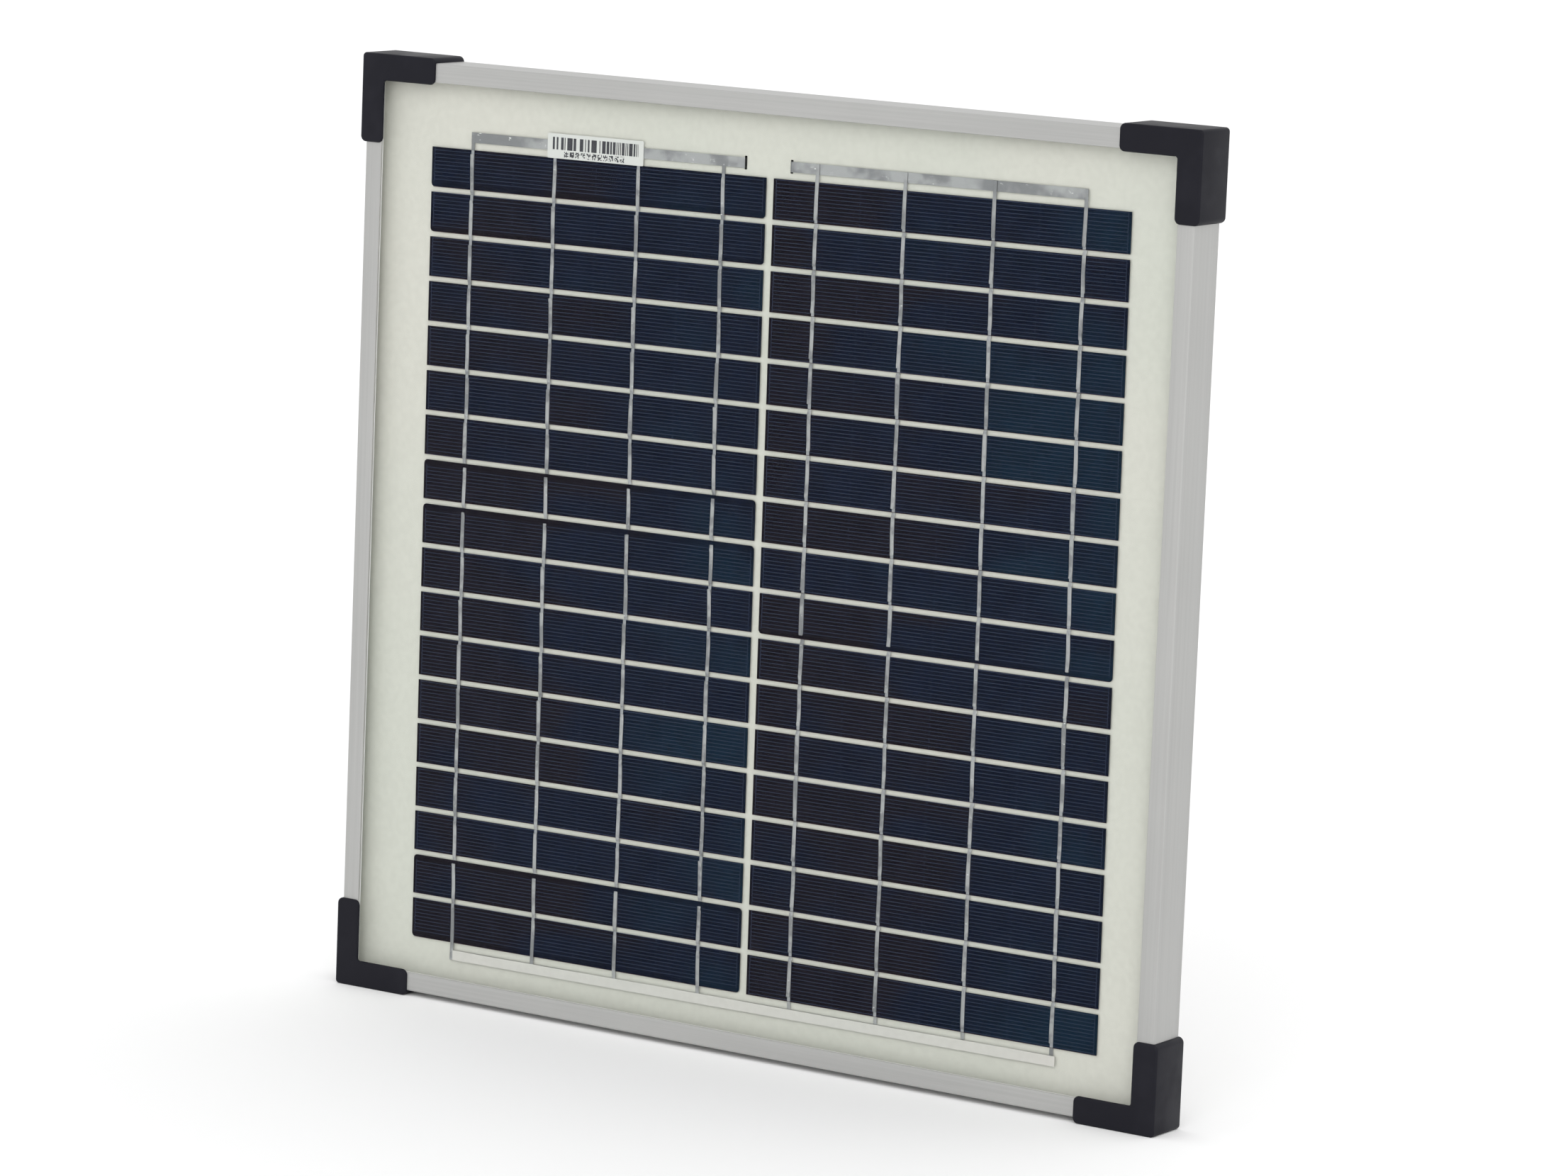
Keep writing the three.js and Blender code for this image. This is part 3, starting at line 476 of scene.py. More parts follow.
def labelMaterial():
    # paper with a row of plain bars and a row of small dotted marks
    look = labelLook
    material, tree, shader = startMaterial("labelPaper", look["paper"], 0.6)
    plan = addNode(tree, "ShaderNodeUVMap", uv_map="plan")
    split = addNode(tree, "ShaderNodeSeparateXYZ")
    feed(tree, split.inputs[0], plan.outputs[0])
    along, up = split.outputs[0], split.outputs[1]

    def within(low, high):
        inX = sums(tree, "MULTIPLY", sums(tree, "GREATER_THAN", along, low[0]),
                   sums(tree, "LESS_THAN", along, high[0]))
        inZ = sums(tree, "MULTIPLY", sums(tree, "GREATER_THAN", up, low[1]),
                   sums(tree, "LESS_THAN", up, high[1]))
        return sums(tree, "MULTIPLY", inX, inZ)

    def scatter(first, second):
        pair = addNode(tree, "ShaderNodeCombineXYZ")
        feed(tree, pair.inputs[0], first)
        feed(tree, pair.inputs[1], second)
        node = addNode(tree, "ShaderNodeTexWhiteNoise", noise_dimensions="2D")
        feed(tree, node.inputs["Vector"], pair.outputs[0])
        return node.outputs[0]

    column = sums(tree, "FLOOR", sums(tree, "DIVIDE", along, look["barStep"]))
    bars = sums(tree, "MULTIPLY", sums(tree, "GREATER_THAN", scatter(column, 3.0), 0.42),
                within(look["barsFrom"], look["barsTo"]))
    dotX = sums(tree, "FLOOR", sums(tree, "DIVIDE", along, look["dot"]))
    dotZ = sums(tree, "FLOOR", sums(tree, "DIVIDE", up, look["dot"]))
    gap = sums(tree, "LESS_THAN", sums(tree, "FRACT", sums(tree, "DIVIDE", along,
                                                           look["codePitch"])), 0.78)
    marks = sums(tree, "MULTIPLY", sums(tree, "GREATER_THAN", scatter(dotX, dotZ), 0.45),
                 sums(tree, "MULTIPLY", gap, within(look["codeFrom"], look["codeTo"])))
    ink = sums(tree, "MAXIMUM", bars, marks)
    feed(tree, shader.inputs["Base Color"], blendColour(tree, ink, look["paper"], look["ink"]))
    fibre = noise(tree, objectPlace(tree), 1200.0, 3.0)
    feed(tree, shader.inputs["Normal"], bumpOf(tree, fibre, 0.00002, 0.6))
    return material


materials = {
    "wafer": waferMaterial(),
    "ribbon": tinnedMaterial("tinnedRibbon", 130.0),
    "bus": tinnedMaterial("tinnedBus", 60.0),
    "sheet": sheetMaterial("backSheet", (0.565, 0.567, 0.545), (0.595, 0.580, 0.563)),
    "strip": sheetMaterial("insulatingStrip", (0.55, 0.545, 0.525), (0.575, 0.545, 0.53), 0.45),
    "seal": sheetMaterial("edgeSeal", (0.82, 0.82, 0.81), (0.78, 0.78, 0.77), 0.7),
    "across": aluminiumMaterial("anodisedAcross", (6.0, 900.0, 900.0)),
    "upright": aluminiumMaterial("anodisedUpright", (900.0, 900.0, 6.0)),
    "corner": plasticMaterial("cornerPlastic", (0.0085, 0.0085, 0.0130), 0.50),
    "box": plasticMaterial("boxPlastic", (0.012, 0.012, 0.014), 0.46),
    "gland": plasticMaterial("glandPlastic", (0.016, 0.016, 0.017), 0.40, 0.00003),
    "diode": plasticMaterial("diodeBody", (0.010, 0.010, 0.011), 0.30, 0.00002),
    "glass": glassMaterial(),
    "clear": clearMaterial(),
    "label": labelMaterial(),
}
print("materials:", len(materials))


# ---- strings of cells

strings = {
    "cellLength": 156.75, "cellHeight": 15.575, "corner": 1.6, "edgeRound": 0.04,
    "rows": 18, "rowGap": 2.0, "columnGap": 3.3, "busbars": 4, "turn": -0.4,
    "ribbonWidth": 1.6, "ribbonThickness": 0.2, "lap": 12.5, "start": 1.2, "step": 0.35,
    "busGap": 2.9, "busWidth": 4.0, "leftOverrun": 8.8, "rightOverrun": 11.2,
    "printMargin": 1.9,
}
upperCorners = {("a", 8), ("a", 9), ("a", 17)}   # strips from the top end of a wafer
lowerCorners = {("a", 1), ("a", 2), ("a", 18), ("b", 10)}   # and from its bottom end

rowPitch = strings["cellHeight"] + strings["rowGap"]
columnHeight = strings["rows"] * rowPitch - strings["rowGap"]
columnMiddle = {"a": -(strings["cellLength"] + strings["columnGap"]) / 2}
columnMiddle["b"] = -columnMiddle["a"]
turn = math.radians(strings["turn"])
firstLow, firstHigh = nodeBox("cell_b01")
cellFront, cellBack = firstLow[1], firstHigh[1]
frontPlane = cellFront - strings["ribbonThickness"]


def turned(points, middle=(0.0, 0.0)):
    # the strings sit slightly askew: (x cos a + z sin a, y, z cos a - x sin a) about their middle
    x, y, z = np.asarray(points, dtype=float).T
    return np.stack([middle[0] + x * math.cos(turn) + z * math.sin(turn), y,
                     middle[1] + z * math.cos(turn) - x * math.sin(turn)], axis=-1)


def rowMiddle(row):
    return columnHeight / 2 - strings["cellHeight"] / 2 - (row - 1) * rowPitch


firstCell = turned([[columnMiddle["b"], 0.0, rowMiddle(1)]])[0]
stringsMiddle = tuple(((firstLow + firstHigh) / 2 - firstCell)[[0, 2]])
busbarPitch = strings["cellLength"] / strings["busbars"]
busbarPlaces = (np.arange(strings["busbars"]) - (strings["busbars"] - 1) / 2) * busbarPitch
busLow = columnHeight / 2 + strings["busGap"]
busHigh = busLow + strings["busWidth"]
dice = np.random.default_rng(1807)


def makeWafer(column, row):
    name = f"{column}{row:02d}"
    middle = rowMiddle(row)
    half = strings["cellLength"] / 2
    x = (columnMiddle[column] - half, columnMiddle[column] + half)
    z = (middle - strings["cellHeight"] / 2, middle + strings["cellHeight"] / 2)
    small = 2 * strings["edgeRound"]
    low = strings["corner"] if (column, row) in lowerCorners else small
    high = strings["corner"] if (column, row) in upperCorners else small
    outline = roundedOutline(rectangle(x, z), [low, low, high, high], 5)
    edge = strings["edgeRound"]
    rings = [(edge, cellFront), (0, cellFront + edge), (0, cellBack - edge), (edge, cellBack)]
    points, faces = ringsShell(outline, rings)
    plan = points[:, [0, 2]] - (x[0], z[0])
    piece = addPiece("wafer_" + name, turned(points, stringsMiddle), faces, materials["wafer"],
                     plan=plan)
    margin = strings["printMargin"]
    setNumber(piece, "cellSeed", dice.random())
    setNumber(piece, "printLow", margin if (column, row) in lowerCorners else -1.0)
    setNumber(piece, "printHigh",
              strings["cellHeight"] - margin if (column, row) in upperCorners else 99.0)
    return finishPiece(piece, "silicon", "panel", "cell_" + name)


solder = {"blobs": 9, "spread": 3.4, "height": 0.20, "size": (0.16, 0.55), "grain": 0.012,
          "waver": 0.16, "spacing": 0.30}


def ribbonSurface(x, reach, depth, blobsAt, blobs):
    # flat tape: P(s, w) = (x + waver(s) + w, depth(s) + side, reach(s)) with solder blobs on top
    half, thick = strings["ribbonWidth"] / 2, strings["ribbonThickness"]
    across = np.array([-1, -0.93, -0.5, -0.1, 0.3, 0.7, 0.93, 1, 0.93, -0.93]) * half
    side = np.array([0.3, 0, 0, 0, 0, 0, 0, 0.3, 1, 1]) * thick
    top = side < thick / 4
    s, w = reach[:, None], across[None]
    waver = solder["waver"] * np.sin(s / dice.uniform(4.0, 7.0) + dice.uniform(0, 6.3))
    swell = np.zeros((len(reach), len(across)))
    at = blobsAt[0] + (blobsAt[1] - blobsAt[0]) * dice.beta(0.8, 2.4, blobs)
    wide = dice.uniform(-half, half, blobs)
    size = dice.uniform(*solder["size"], blobs)
    lift = dice.uniform(0.2, 1.0, blobs) * solder["height"]
    for n in range(blobs):
        swell += lift[n] * np.exp(-((s - at[n]) ** 2 + (w - wide[n]) ** 2) / size[n] ** 2)
    swell += np.abs(dice.normal(0, solder["grain"], swell.shape))
    y = depth[:, None] + side[None] - np.where(top[None], np.minimum(swell, 0.3), 0)
    points = np.stack([x + waver + w + 0 * y, y, s + 0 * y], axis=-1)
    return points.reshape(-1, 3), len(reach), len(across)


def smoothStep(t):
    t = np.clip(t, 0, 1)
    return t * t * (3 - 2 * t)


def joinTapes(tapes):
    points, faces, first = [], [], 0
    for part, rows, columns in tapes:
        points.append(part)
        faces += tubeFaces(rows, columns, first)
        first += len(part)
    return np.concatenate(points), faces


def makeRibbons(column, row):
    # from its own cell's front, down a step in the gap and behind the next cell
    towards = -1 if column == "a" else 1
    last = strings["rows"] if column == "a" else 1
    name = f"{column}{row:02d}"
    if (column, row) == ("b", 1):
        return None   # the positive bus brings its own tails
    edge = strings["cellHeight"] / 2
    start = -edge + strings["start"]
    stepFrom, stepTo = edge + strings["step"], edge + strings["rowGap"] - strings["step"]
    tapes = []
    for x in columnMiddle[column] + busbarPlaces:
        begin = start + dice.uniform(0.0, 0.9)
        fine = np.arange(begin, stepFrom, solder["spacing"])
        if row == last:
            rest = np.linspace(stepFrom, edge + strings["busGap"] + strings["busWidth"], 12)
            drop = 0.0
        else:
            rest = np.concatenate([np.linspace(stepFrom, stepTo, 6),
                                   np.linspace(stepTo, stepTo + strings["lap"], 9)[1:]])
            drop = cellBack - frontPlane
        s = np.concatenate([fine, rest])
        depth = frontPlane + drop * smoothStep((s - stepFrom) / (stepTo - stepFrom))
        shift = dice.uniform(-0.25, 0.25)
        blobsAt = (begin, begin + solder["spread"])
        part, rows, columns = ribbonSurface(x + shift, s, depth, blobsAt, solder["blobs"])
        part[:, 2] = rowMiddle(row) + towards * part[:, 2]
        tapes.append((part, rows, columns))
    points, faces = joinTapes(tapes)
    piece = addPiece("ribbons_" + name, turned(points, stringsMiddle), faces,
                     materials["ribbon"], smooth=50)
    return finishPiece(piece, "tinned_copper", "panel", "cell_" + name)


for column in "ab":
    for row in range(1, strings["rows"] + 1):
        makeWafer(column, row)
        makeRibbons(column, row)
print("cells and ribbons placed")


# ---- buses

bus = {"spacing": 0.55, "grain": 0.016, "dents": 60, "dentSize": (0.5, 1.8), "dentDepth": 0.05}


def busBar(fromX, toX, low, high, wedge=0.0):
    # flat bar: front y = cellFront - dents(x, z), closed round a thin section
    across = np.linspace(0, 1, 9)
    along = np.arange(fromX, toX + bus["spacing"] / 2, bus["spacing"])
    along[-1] = toX
    count = int(bus["dents"] * (toX - fromX) / 130)
    cx, cz = dice.uniform(fromX, toX, count), dice.uniform(low, high, count)
    size, deep = dice.uniform(*bus["dentSize"], count), dice.uniform(0, bus["dentDepth"], count)
    x, z = np.meshgrid(along, low + (high - low) * across, indexing="ij")
    spread = ((x[..., None] - cx) ** 2 + (z[..., None] - cz) ** 2) / size ** 2
    front = cellFront + 0.05 + (deep * np.exp(-spread)).sum(-1) * 0.7
    front = np.clip(front + np.abs(dice.normal(0, bus["grain"], x.shape)), cellFront,
                    cellBack - 0.05)
    z = z + wedge * (across - 0.5) * np.sin(along / 31)[:, None]
    back = np.stack([x[:, [-1, 0]], np.full((len(along), 2), cellBack), z[:, [-1, 0]]], axis=-1)
    points = np.concatenate([np.stack([x, front, z], axis=-1), back], axis=1)
    return points.reshape(-1, 3), len(along), len(across) + 2


def tail(x, low, high, plane, bright):
    # a short tape from the bus on to or behind a cell, solder blobs towards its far end
    s = np.concatenate([np.arange(low, high, solder["spacing"]), [high]])
    blobsAt = (low, low + solder["spread"] * 1.2)
    return ribbonSurface(x, s, np.full(len(s), plane), blobsAt, solder["blobs"] if bright else 1)


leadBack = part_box("bus_negative")[1][1] / mm
halfTape = strings["ribbonWidth"] / 2
tape = strings["ribbonThickness"]
behindLow = columnHeight / 2 - strings["lap"]


def lead(x, y, z):
    points, faces = ringsShell(roundedOutline(rectangle(x, z), 0.04, 2),
                               [(0, y[0]), (0, (y[0] + y[1]) / 2), (0, y[1])])
    return points, faces


def busPiece(name, tapes, leads, node):
    points, faces = joinTapes(tapes)
    for more, others in leads:
        faces += [[n + len(points) for n in face] for face in others]
        points = np.concatenate([points, more])
    piece = addPiece(name, turned(points, stringsMiddle), faces, materials["bus"], smooth=50)
    return finishPiece(piece, "tinned_copper", "panel", node)


leftPlaces = columnMiddle["a"] + busbarPlaces
rightPlaces = columnMiddle["b"] + busbarPlaces
leftEnds = (leftPlaces[0] - halfTape, leftPlaces[-1] + halfTape + strings["leftOverrun"])
rightEnds = (rightPlaces[0] - halfTape - strings["rightOverrun"], rightPlaces[-1] + halfTape)
busPiece("bus_left", [busBar(*leftEnds, busLow, busHigh)]
         + [tail(x, behindLow, busHigh - 0.3, cellBack, False) for x in leftPlaces],
         [lead((leftEnds[1] - tape, leftEnds[1]), (cellFront - 0.05, leadBack), (busLow, busHigh))],
         "bus_negative")
frontTail = columnHeight / 2 - strings["cellHeight"] + strings["start"]
busPiece("bus_right", [busBar(*rightEnds, busLow, busHigh)]
         + [tail(x, frontTail, busHigh - 0.1, frontPlane, True) for x in rightPlaces],
         [lead((rightEnds[0], rightEnds[0] + tape), (cellFront - 0.05, leadBack), (busLow, busHigh))],
         "bus_positive")
busPiece("bus_lower", [busBar(leftEnds[0], rightEnds[1], -busHigh, -busLow)]
         + [tail(x, -busHigh + 0.2, -behindLow, cellBack, False) for x in rightPlaces],
         [], "bus_cross")

stripLook = {"past": 1.0, "thickness": 0.15, "waver": 0.10}


def makeStrip():
    # white tape over the lower bus, its long edges wavering slightly
    x = (leftPlaces[0] + halfTape, rightPlaces[-1] + halfTape + stripLook["past"])
    along = np.linspace(x[0], x[1], 90)
    wave = stripLook["waver"] * np.sin(along / 23) + 0.04 * np.sin(along / 5.1)
    front, back = frontPlane - stripLook["thickness"], frontPlane
    section = np.array([[0, -busHigh], [0.05, -busHigh + 0.04], [0.05, -busLow - 0.04], [0, -busLow]])
    z = section[None, :, 1] + wave[:, None] * np.array([0.3, 0.3, -0.6, -0.6])
    y = np.array([back, front, front, back])[None] + 0 * z
    points = np.stack([along[:, None] + 0 * z, y, z], axis=-1).reshape(-1, 3)
    piece = addPiece("white_strip", turned(points, stringsMiddle), tubeFaces(90, 4),
                     materials["strip"])
    return finishPiece(piece, "white_sheet", "panel", "insulating_strip")


labelSize = {"width": 45, "height": 9.6, "thickness": 0.1, "fromRibbon": 35.6, "rise": 2.6}


def makeLabel():
    # paper label lying over the left bus, its outline p = c + r (cos t, sin t) at the corners
    x0 = leftEnds[0] + halfTape + labelSize["fromRibbon"]
    z1 = busHigh + labelSize["rise"]
    x, z = (x0, x0 + labelSize["width"]), (z1 - labelSize["height"], z1)
    front = cellFront - labelSize["thickness"]
    outline = roundedOutline(rectangle(x, z), 0.5, 5)
    points, faces = ringsShell(outline, [(0.03, front), (0, front + 0.03), (0, cellFront - 0.005)])
    piece = addPiece("paper_label", turned(points, stringsMiddle), faces, materials["label"],
                     plan=points[:, [0, 2]] - (x[0], z[0]))
    return finishPiece(piece, "label_paper", "panel", "serial_label")


makeStrip()
makeLabel()
print("buses, strip and label placed")


# ---- frame rails

rail = {
    "wall": 1.3, "flange": 7.5, "flangeThick": 1.2, "shelf": 9.0, "shelfFront": -2.5,
    "rearFlange": 12.0, "mitre": 0.15, "outerChamfer": 0.7, "small": 0.25,
    "slot": (5.4, 9.0), "slotFromEnd": 82.0, "slotFromFace": 7.2,
}


def railSection(front, back):
    # (inward, depth) round the extrusion, with its chamfers and small roundings
    f, t, c, e = rail["flange"], rail["flangeThick"], rail["outerChamfer"], rail["small"]
    w, s, shelf, r = rail["wall"], rail["shelf"], rail["shelfFront"], rail["rearFlange"]
    return np.array([
        [0, front + c], [c * 0.35, front + c * 0.35], [c, front],
        [f - 2.2 * e, front], [f - 0.7 * e, front + 0.3 * e], [f, front + 1.2 * e],
        [f, front + t - e / 2], [f - e / 2, front + t], [w + e, front + t], [w, front + t + e],
        [w, shelf - e], [w + e, shelf], [s - e / 2, shelf], [s, shelf + e / 2],
        [s, shelf + t - e / 2], [s - e / 2, shelf + t], [w + e, shelf + t], [w, shelf + t + e],
        [w, back - t - e], [w + e, back - t], [r - e, back - t], [r, back - t + e / 2],
        [r, back - e], [r - e, back], [e * 2, back], [e * 0.6, back - e * 0.6], [0, back - 2 * e],
    ])


def makeRail(side, material):
    # the section carried along the rail, ends cut at 45 degrees: x = +-(L/2 - inward - mitre)
    low, high = nodeBox("frame_rail_" + side)
    upright = side in ("left", "right")
    length = high[2] - low[2] if upright else high[0] - low[0]
    length += 2 * rail["mitre"]
    section = railSection(low[1], high[1])
    inward, depth = section.T
    stations = np.linspace(-1, 1, 12)[:, None]
    along = stations * (length / 2 - inward - rail["mitre"])[None]
    middle = (low + high) / 2

    def onRail(along, depth, inward):
        # along, depth and inward to X, Y and Z for this side of the frame
        if side == "bottom":
            return np.stack([middle[0] + along, depth, low[2] + inward], axis=-1)
        if side == "top":
            return np.stack([middle[0] - along, depth, high[2] - inward], axis=-1)
        if side == "left":
            return np.stack([low[0] + inward, depth, middle[2] - along], axis=-1)
        return np.stack([high[0] - inward, depth, middle[2] + along], axis=-1)

    points = onRail(along, depth[None] + 0 * along, inward[None] + 0 * along).reshape(-1, 3)
    piece = addPiece("rail_" + side, points, tubeFaces(len(stations), len(section)), material,
                     smooth=15)
    if upright:
        cutters = []
        across, long = rail["slot"]
        for end in (-1, 1):
            at = end * (length / 2 - rail["slotFromEnd"])
            outline = roundedOutline(
                rectangle((at - long / 2, at + long / 2),
                          (rail["slotFromFace"] - across / 2, rail["slotFromFace"] + across / 2)),
                across / 2 - 0.001, 8)
            rings = [(0, high[1] - rail["flangeThick"] - 1), (0, high[1] - 0.25), (-0.4, high[1] + 0.4)]
            local, faces = ringsShell(outline, rings)
            cutters.append(addPiece("slotCutter", onRail(local[:, 0], local[:, 1], local[:, 2]),
                                    faces, material))
        cutAway(piece, cutters)
    return finishPiece(piece, "frame_aluminium", "panel", "frame_rail_" + side)


for side in ("bottom", "right", "top", "left"):
    makeRail(side, materials["upright" if side in ("left", "right") else "across"])
print("frame rails placed")


# ---- corner pieces

corner = {
    "arm": 35.0, "armWidth": 10.5, "side": 2.0, "face": 1.0, "endRound": 2.3, "outerRound": 1.6,
    "innerRound": 1.0, "frontRound": 0.75, "backRound": 0.8, "rearFlange": 12.0,
    "keyGap": 0.3, "keyWeb": 1.8, "keyArm": 30.0, "wall": 1.3, "flangeThick": 1.2,
    "shelfFront": -2.5, "innerEdge": 1.1,
}


def ellOutline(outer, inner, arm, outerRound, innerRound, endRound):
    # an L with both arms from the corner at zero, anticlockwise
    corners = [(outer, outer), (arm, outer), (arm, inner), (inner, inner), (inner, arm), (outer, arm)]
    radii = [outerRound, endRound, endRound, innerRound, endRound, endRound]
    return roundedOutline(corners, radii, 7)


def makeCorner(side, level):
    # L-shaped shell over the mitre, hooked behind the rear flange to a key in the channel
    name = f"corner_piece_{level}_{side}"
    low, high = nodeBox(name)
    size = corner
    atLeft, atBottom = side == "left", level == "bottom"
    frameX = low[0] + size["side"] if atLeft else high[0] - size["side"]
    frameZ = low[2] + size["side"] if atBottom else high[2] - size["side"]
    front, back = low[1], high[1]
    innerFront = size["armWidth"] - size["side"]
    innerBack = size["rearFlange"] + size["keyGap"] + size["keyWeb"]
    armEnd = size["arm"] - size["side"]

    def solid(outline, rings, label):
        local, faces = ringsShell(outline, rings)
        points = np.stack([frameX + local[:, 0] * (1 if atLeft else -1), local[:, 1],
                           frameZ + local[:, 2] * (1 if atBottom else -1)], axis=-1)
        return addPiece(label, points, faces, materials["corner"])

    shell = solid(ellOutline(-size["side"], innerFront, armEnd, size["outerRound"],
                             size["innerRound"], size["endRound"]),
                  roundedRings(front, back, size["frontRound"], size["backRound"]), name + "_cap")
    frameFront, frameBack = front + size["face"], back - size["face"]
    room = 2 * size["arm"]
    inside = solid(roundedOutline(rectangle((0, room), (0, room)), 0.2, 3),
                   [(0, frameFront), (0, frameBack)], "room")
    cutAway(shell, [inside])
    rear = solid(ellOutline(-size["side"] + 0.02, innerBack, armEnd - 0.02, size["outerRound"],
                            size["innerEdge"], size["endRound"]),
                 roundedRings(frameBack, back - 0.01, 0.05, size["backRound"]), "rear")
    webFront = size["shelfFront"] + size["flangeThick"] + size["keyGap"]
    web = solid(ellOutline(size["rearFlange"] + size["keyGap"], innerBack, size["keyArm"],
                           0.2, 0.4, 0.3),
                [(0, webFront), (0, frameBack + size["face"] / 2)], "web")
    key = solid(ellOutline(size["wall"] + size["keyGap"], innerBack - 0.01, size["keyArm"] - 0.01,
                           0.3, 0.4, 0.3),
                [(0.1, webFront), (0, webFront + 0.3),
                 (0, frameBack - size["flangeThick"] - size["keyGap"])], "key")
    cutAway(shell, [rear, web, key], "UNION")
    return finishPiece(shell, "corner_plastic", "panel", name)


for level in ("bottom", "top"):
    for side in ("left", "right"):
        makeCorner(side, level)
print("corner pieces placed")


# ---- laminate

laminate = {
    "arris": 0.4, "sheetRound": 0.05, "slabRound": 0.8, "slitWidth": 1.2, "slitRound": 0.1,
    "past": 1.0, "hair": 0.03, "filmInset": 1.0, "sealRound": 0.3, "sealEdge": 0.1, "squareness": 9,
}


def slabPiece(name, node, material, slot, edge):
    # flat slab with a small arris, in the box of its CAD node
    low, high = nodeBox(node)
    box = rectangle((low[0], high[0]), (low[2], high[2]))
    outline = roundedOutline(box, laminate["slabRound"], 4)
    rings = [(edge, low[1]), (0, low[1] + edge), (0, high[1] - edge), (edge, high[1])]
    points, faces = ringsShell(outline, rings)
    piece = addPiece(name, points, faces, material, smooth=20)
    return finishPiece(piece, slot, "panel", node)


def leadSlits(front, back, material):
    # cutters for the two slits that the leads pass through on their way to the junction box
    half, cutters = laminate["slitWidth"] / 2, []
    for x in (leftEnds[1], rightEnds[0]):
        opening = rectangle((x - half, x + half), (busLow - half, busHigh + half))
        outline = roundedOutline(opening, laminate["slitRound"], 2)
        points, faces = ringsShell(outline, [(0, front), (0, back)])
        cutters.append(addPiece("slit", turned(points, stringsMiddle), faces, material))
    return cutters


def makeBackSheet():
    piece = slabPiece("backing_sheet", "back_sheet", materials["sheet"], "back_sheet",
                      laminate["sheetRound"])
    low, high = nodeBox("back_sheet")
    past = laminate["past"]
    cutAway(piece, leadSlits(low[1] - past, high[1] + past, materials["sheet"]))


def makeSeal():
    # soft channel round the laminate: a U section carried round the rectangle; the outward
    # direction n is squared up, sign(n) min(k |n|, 1), to keep the inner corners sharp
    low, high = nodeBox("edge_seal")
    glassLow, glassHigh = nodeBox("glass_pane")
    sheetBack = nodeBox("back_sheet")[1][1]
    lip = high[0] - (nodeBox("frame_rail_right")[1][0] - rail["flange"])
    wall, edge = high[0] - glassHigh[0], laminate["sealEdge"]
    box = rectangle((low[0], high[0]), (low[2], high[2]))
    places, outward = roundedOutline(box, laminate["sealRound"], 3)
    outward = np.minimum(np.abs(outward) * laminate["squareness"], 1) * np.sign(outward)
    section = np.array([
        [0, low[1]], [lip - edge, low[1]], [lip, low[1] + edge], [lip, glassLow[1]],
        [wall, glassLow[1]], [wall, sheetBack], [lip, sheetBack],
        [lip, high[1] - edge], [lip - edge, high[1]], [0, high[1]],
    ])
    points, quads = sweptRing(places, outward, section)
    piece = addPiece("soft_edge_seal", points, quads, materials["seal"])
    return finishPiece(piece, "seal", "panel", "edge_seal")


def makeEncapsulant(side):
    # clear film between the layers, drawn in a hair so that no two faces share a plane
    node = side + "_encapsulant"
    low, high = nodeBox(node)
    inset, hair = laminate["filmInset"], laminate["hair"]
    box = rectangle((low[0] + inset, high[0] - inset), (low[2] + inset, high[2] - inset))
    outline = roundedOutline(box, laminate["slabRound"], 4)
    points, faces = ringsShell(outline, [(0, low[1] + hair), (0, high[1] - hair)])
    piece = addPiece("clear_film_" + side, points, faces, materials["clear"], smooth=20)
    return finishPiece(piece, "encapsulant", "panel", node)


slabPiece("cover_glass", "glass_pane", materials["glass"], "glass", laminate["arris"])
makeBackSheet()
makeSeal()
makeEncapsulant("front")
makeEncapsulant("rear")
print("laminate placed")


# ---- junction box

junction = {
    "size": (62.0, 46.0), "wall": 1.6, "floor": 1.2, "cornerRound": 2.4, "footRound": 0.4,
    "rimRound": 0.3, "roundShare": 0.3, "past": 1.0, "gap": 0.3, "glandHole": (4.6, 4.0),
}
lidShape = {
    "thickness": 1.5, "round": 0.55, "footRound": 0.25, "footFlat": 0.45, "hair": 0.02,
    "field": ((1.4, 0.0), (1.6, 0.06), (1.9, 0.24), (2.1, 0.3), (2.3, 0.3)),   # (inset, drop)
    "rimWall": 1.2, "rimDepth": 1.4, "rimCorner": 1.6, "rimEdge": 0.2, "rimBite": 0.4,
    "tabWidth": 12.0, "tabReach": 2.2, "tabBite": 0.8, "tabDrop": 0.05, "tabRound": 0.5,
    "ribs": 5, "ribPitch": 1.6, "ribHalf": 0.3, "ribDepth": 0.5, "ribX": (1.7, 1.0), "ribRound": 0.14,
}
hingeShape = {
    "barrelRadius": 2.3, "barrelLength": 24.0, "barrelEdge": 0.3, "armBite": 0.9, "armShort": 0.1,
    "armRound": 0.2, "lugLength": 5.0, "lugEdge": 0.35, "pinRadius": 1.1, "pinShort": 0.2,
    "rootBite": 0.5, "rootShort": 0.05,
}


def revolved(profile, centre, axis, radiusOf=None, sides=40):
    # closed profile (r, h) turned about an axis: c + (r cos t, r sin t, h), r scaled by radiusOf(t)
    radius, height = np.asarray(profile, dtype=float).T
    t = np.arange(sides) / sides * 2 * math.pi
    grow = np.ones((len(radius), sides)) if radiusOf is None else radiusOf(t, radius)
    first, second = radius[:, None] * grow * np.cos(t), radius[:, None] * grow * np.sin(t)
    along = np.broadcast_to(height[:, None], first.shape)
    order = {"z": (first, second, along), "x": (along, first, second), "y": (second, along, first)}
    return np.stack(order[axis], axis=-1).reshape(-1, 3) + centre, len(radius), sides


def solidOf(name, shape, material, smooth=35):
    points, rows, columns = shape
    return addPiece(name, points, tubeFaces(rows, columns), material, smooth)


def blockOf(name, x, y, z, material, round=0.3):
    outline = roundedOutline(rectangle(x, z), round, 4)
    points, faces = ringsShell(outline, roundedRings(y[0], y[1], round * 0.7, round * 0.7, 3))
    return addPiece(name, points, faces, material)


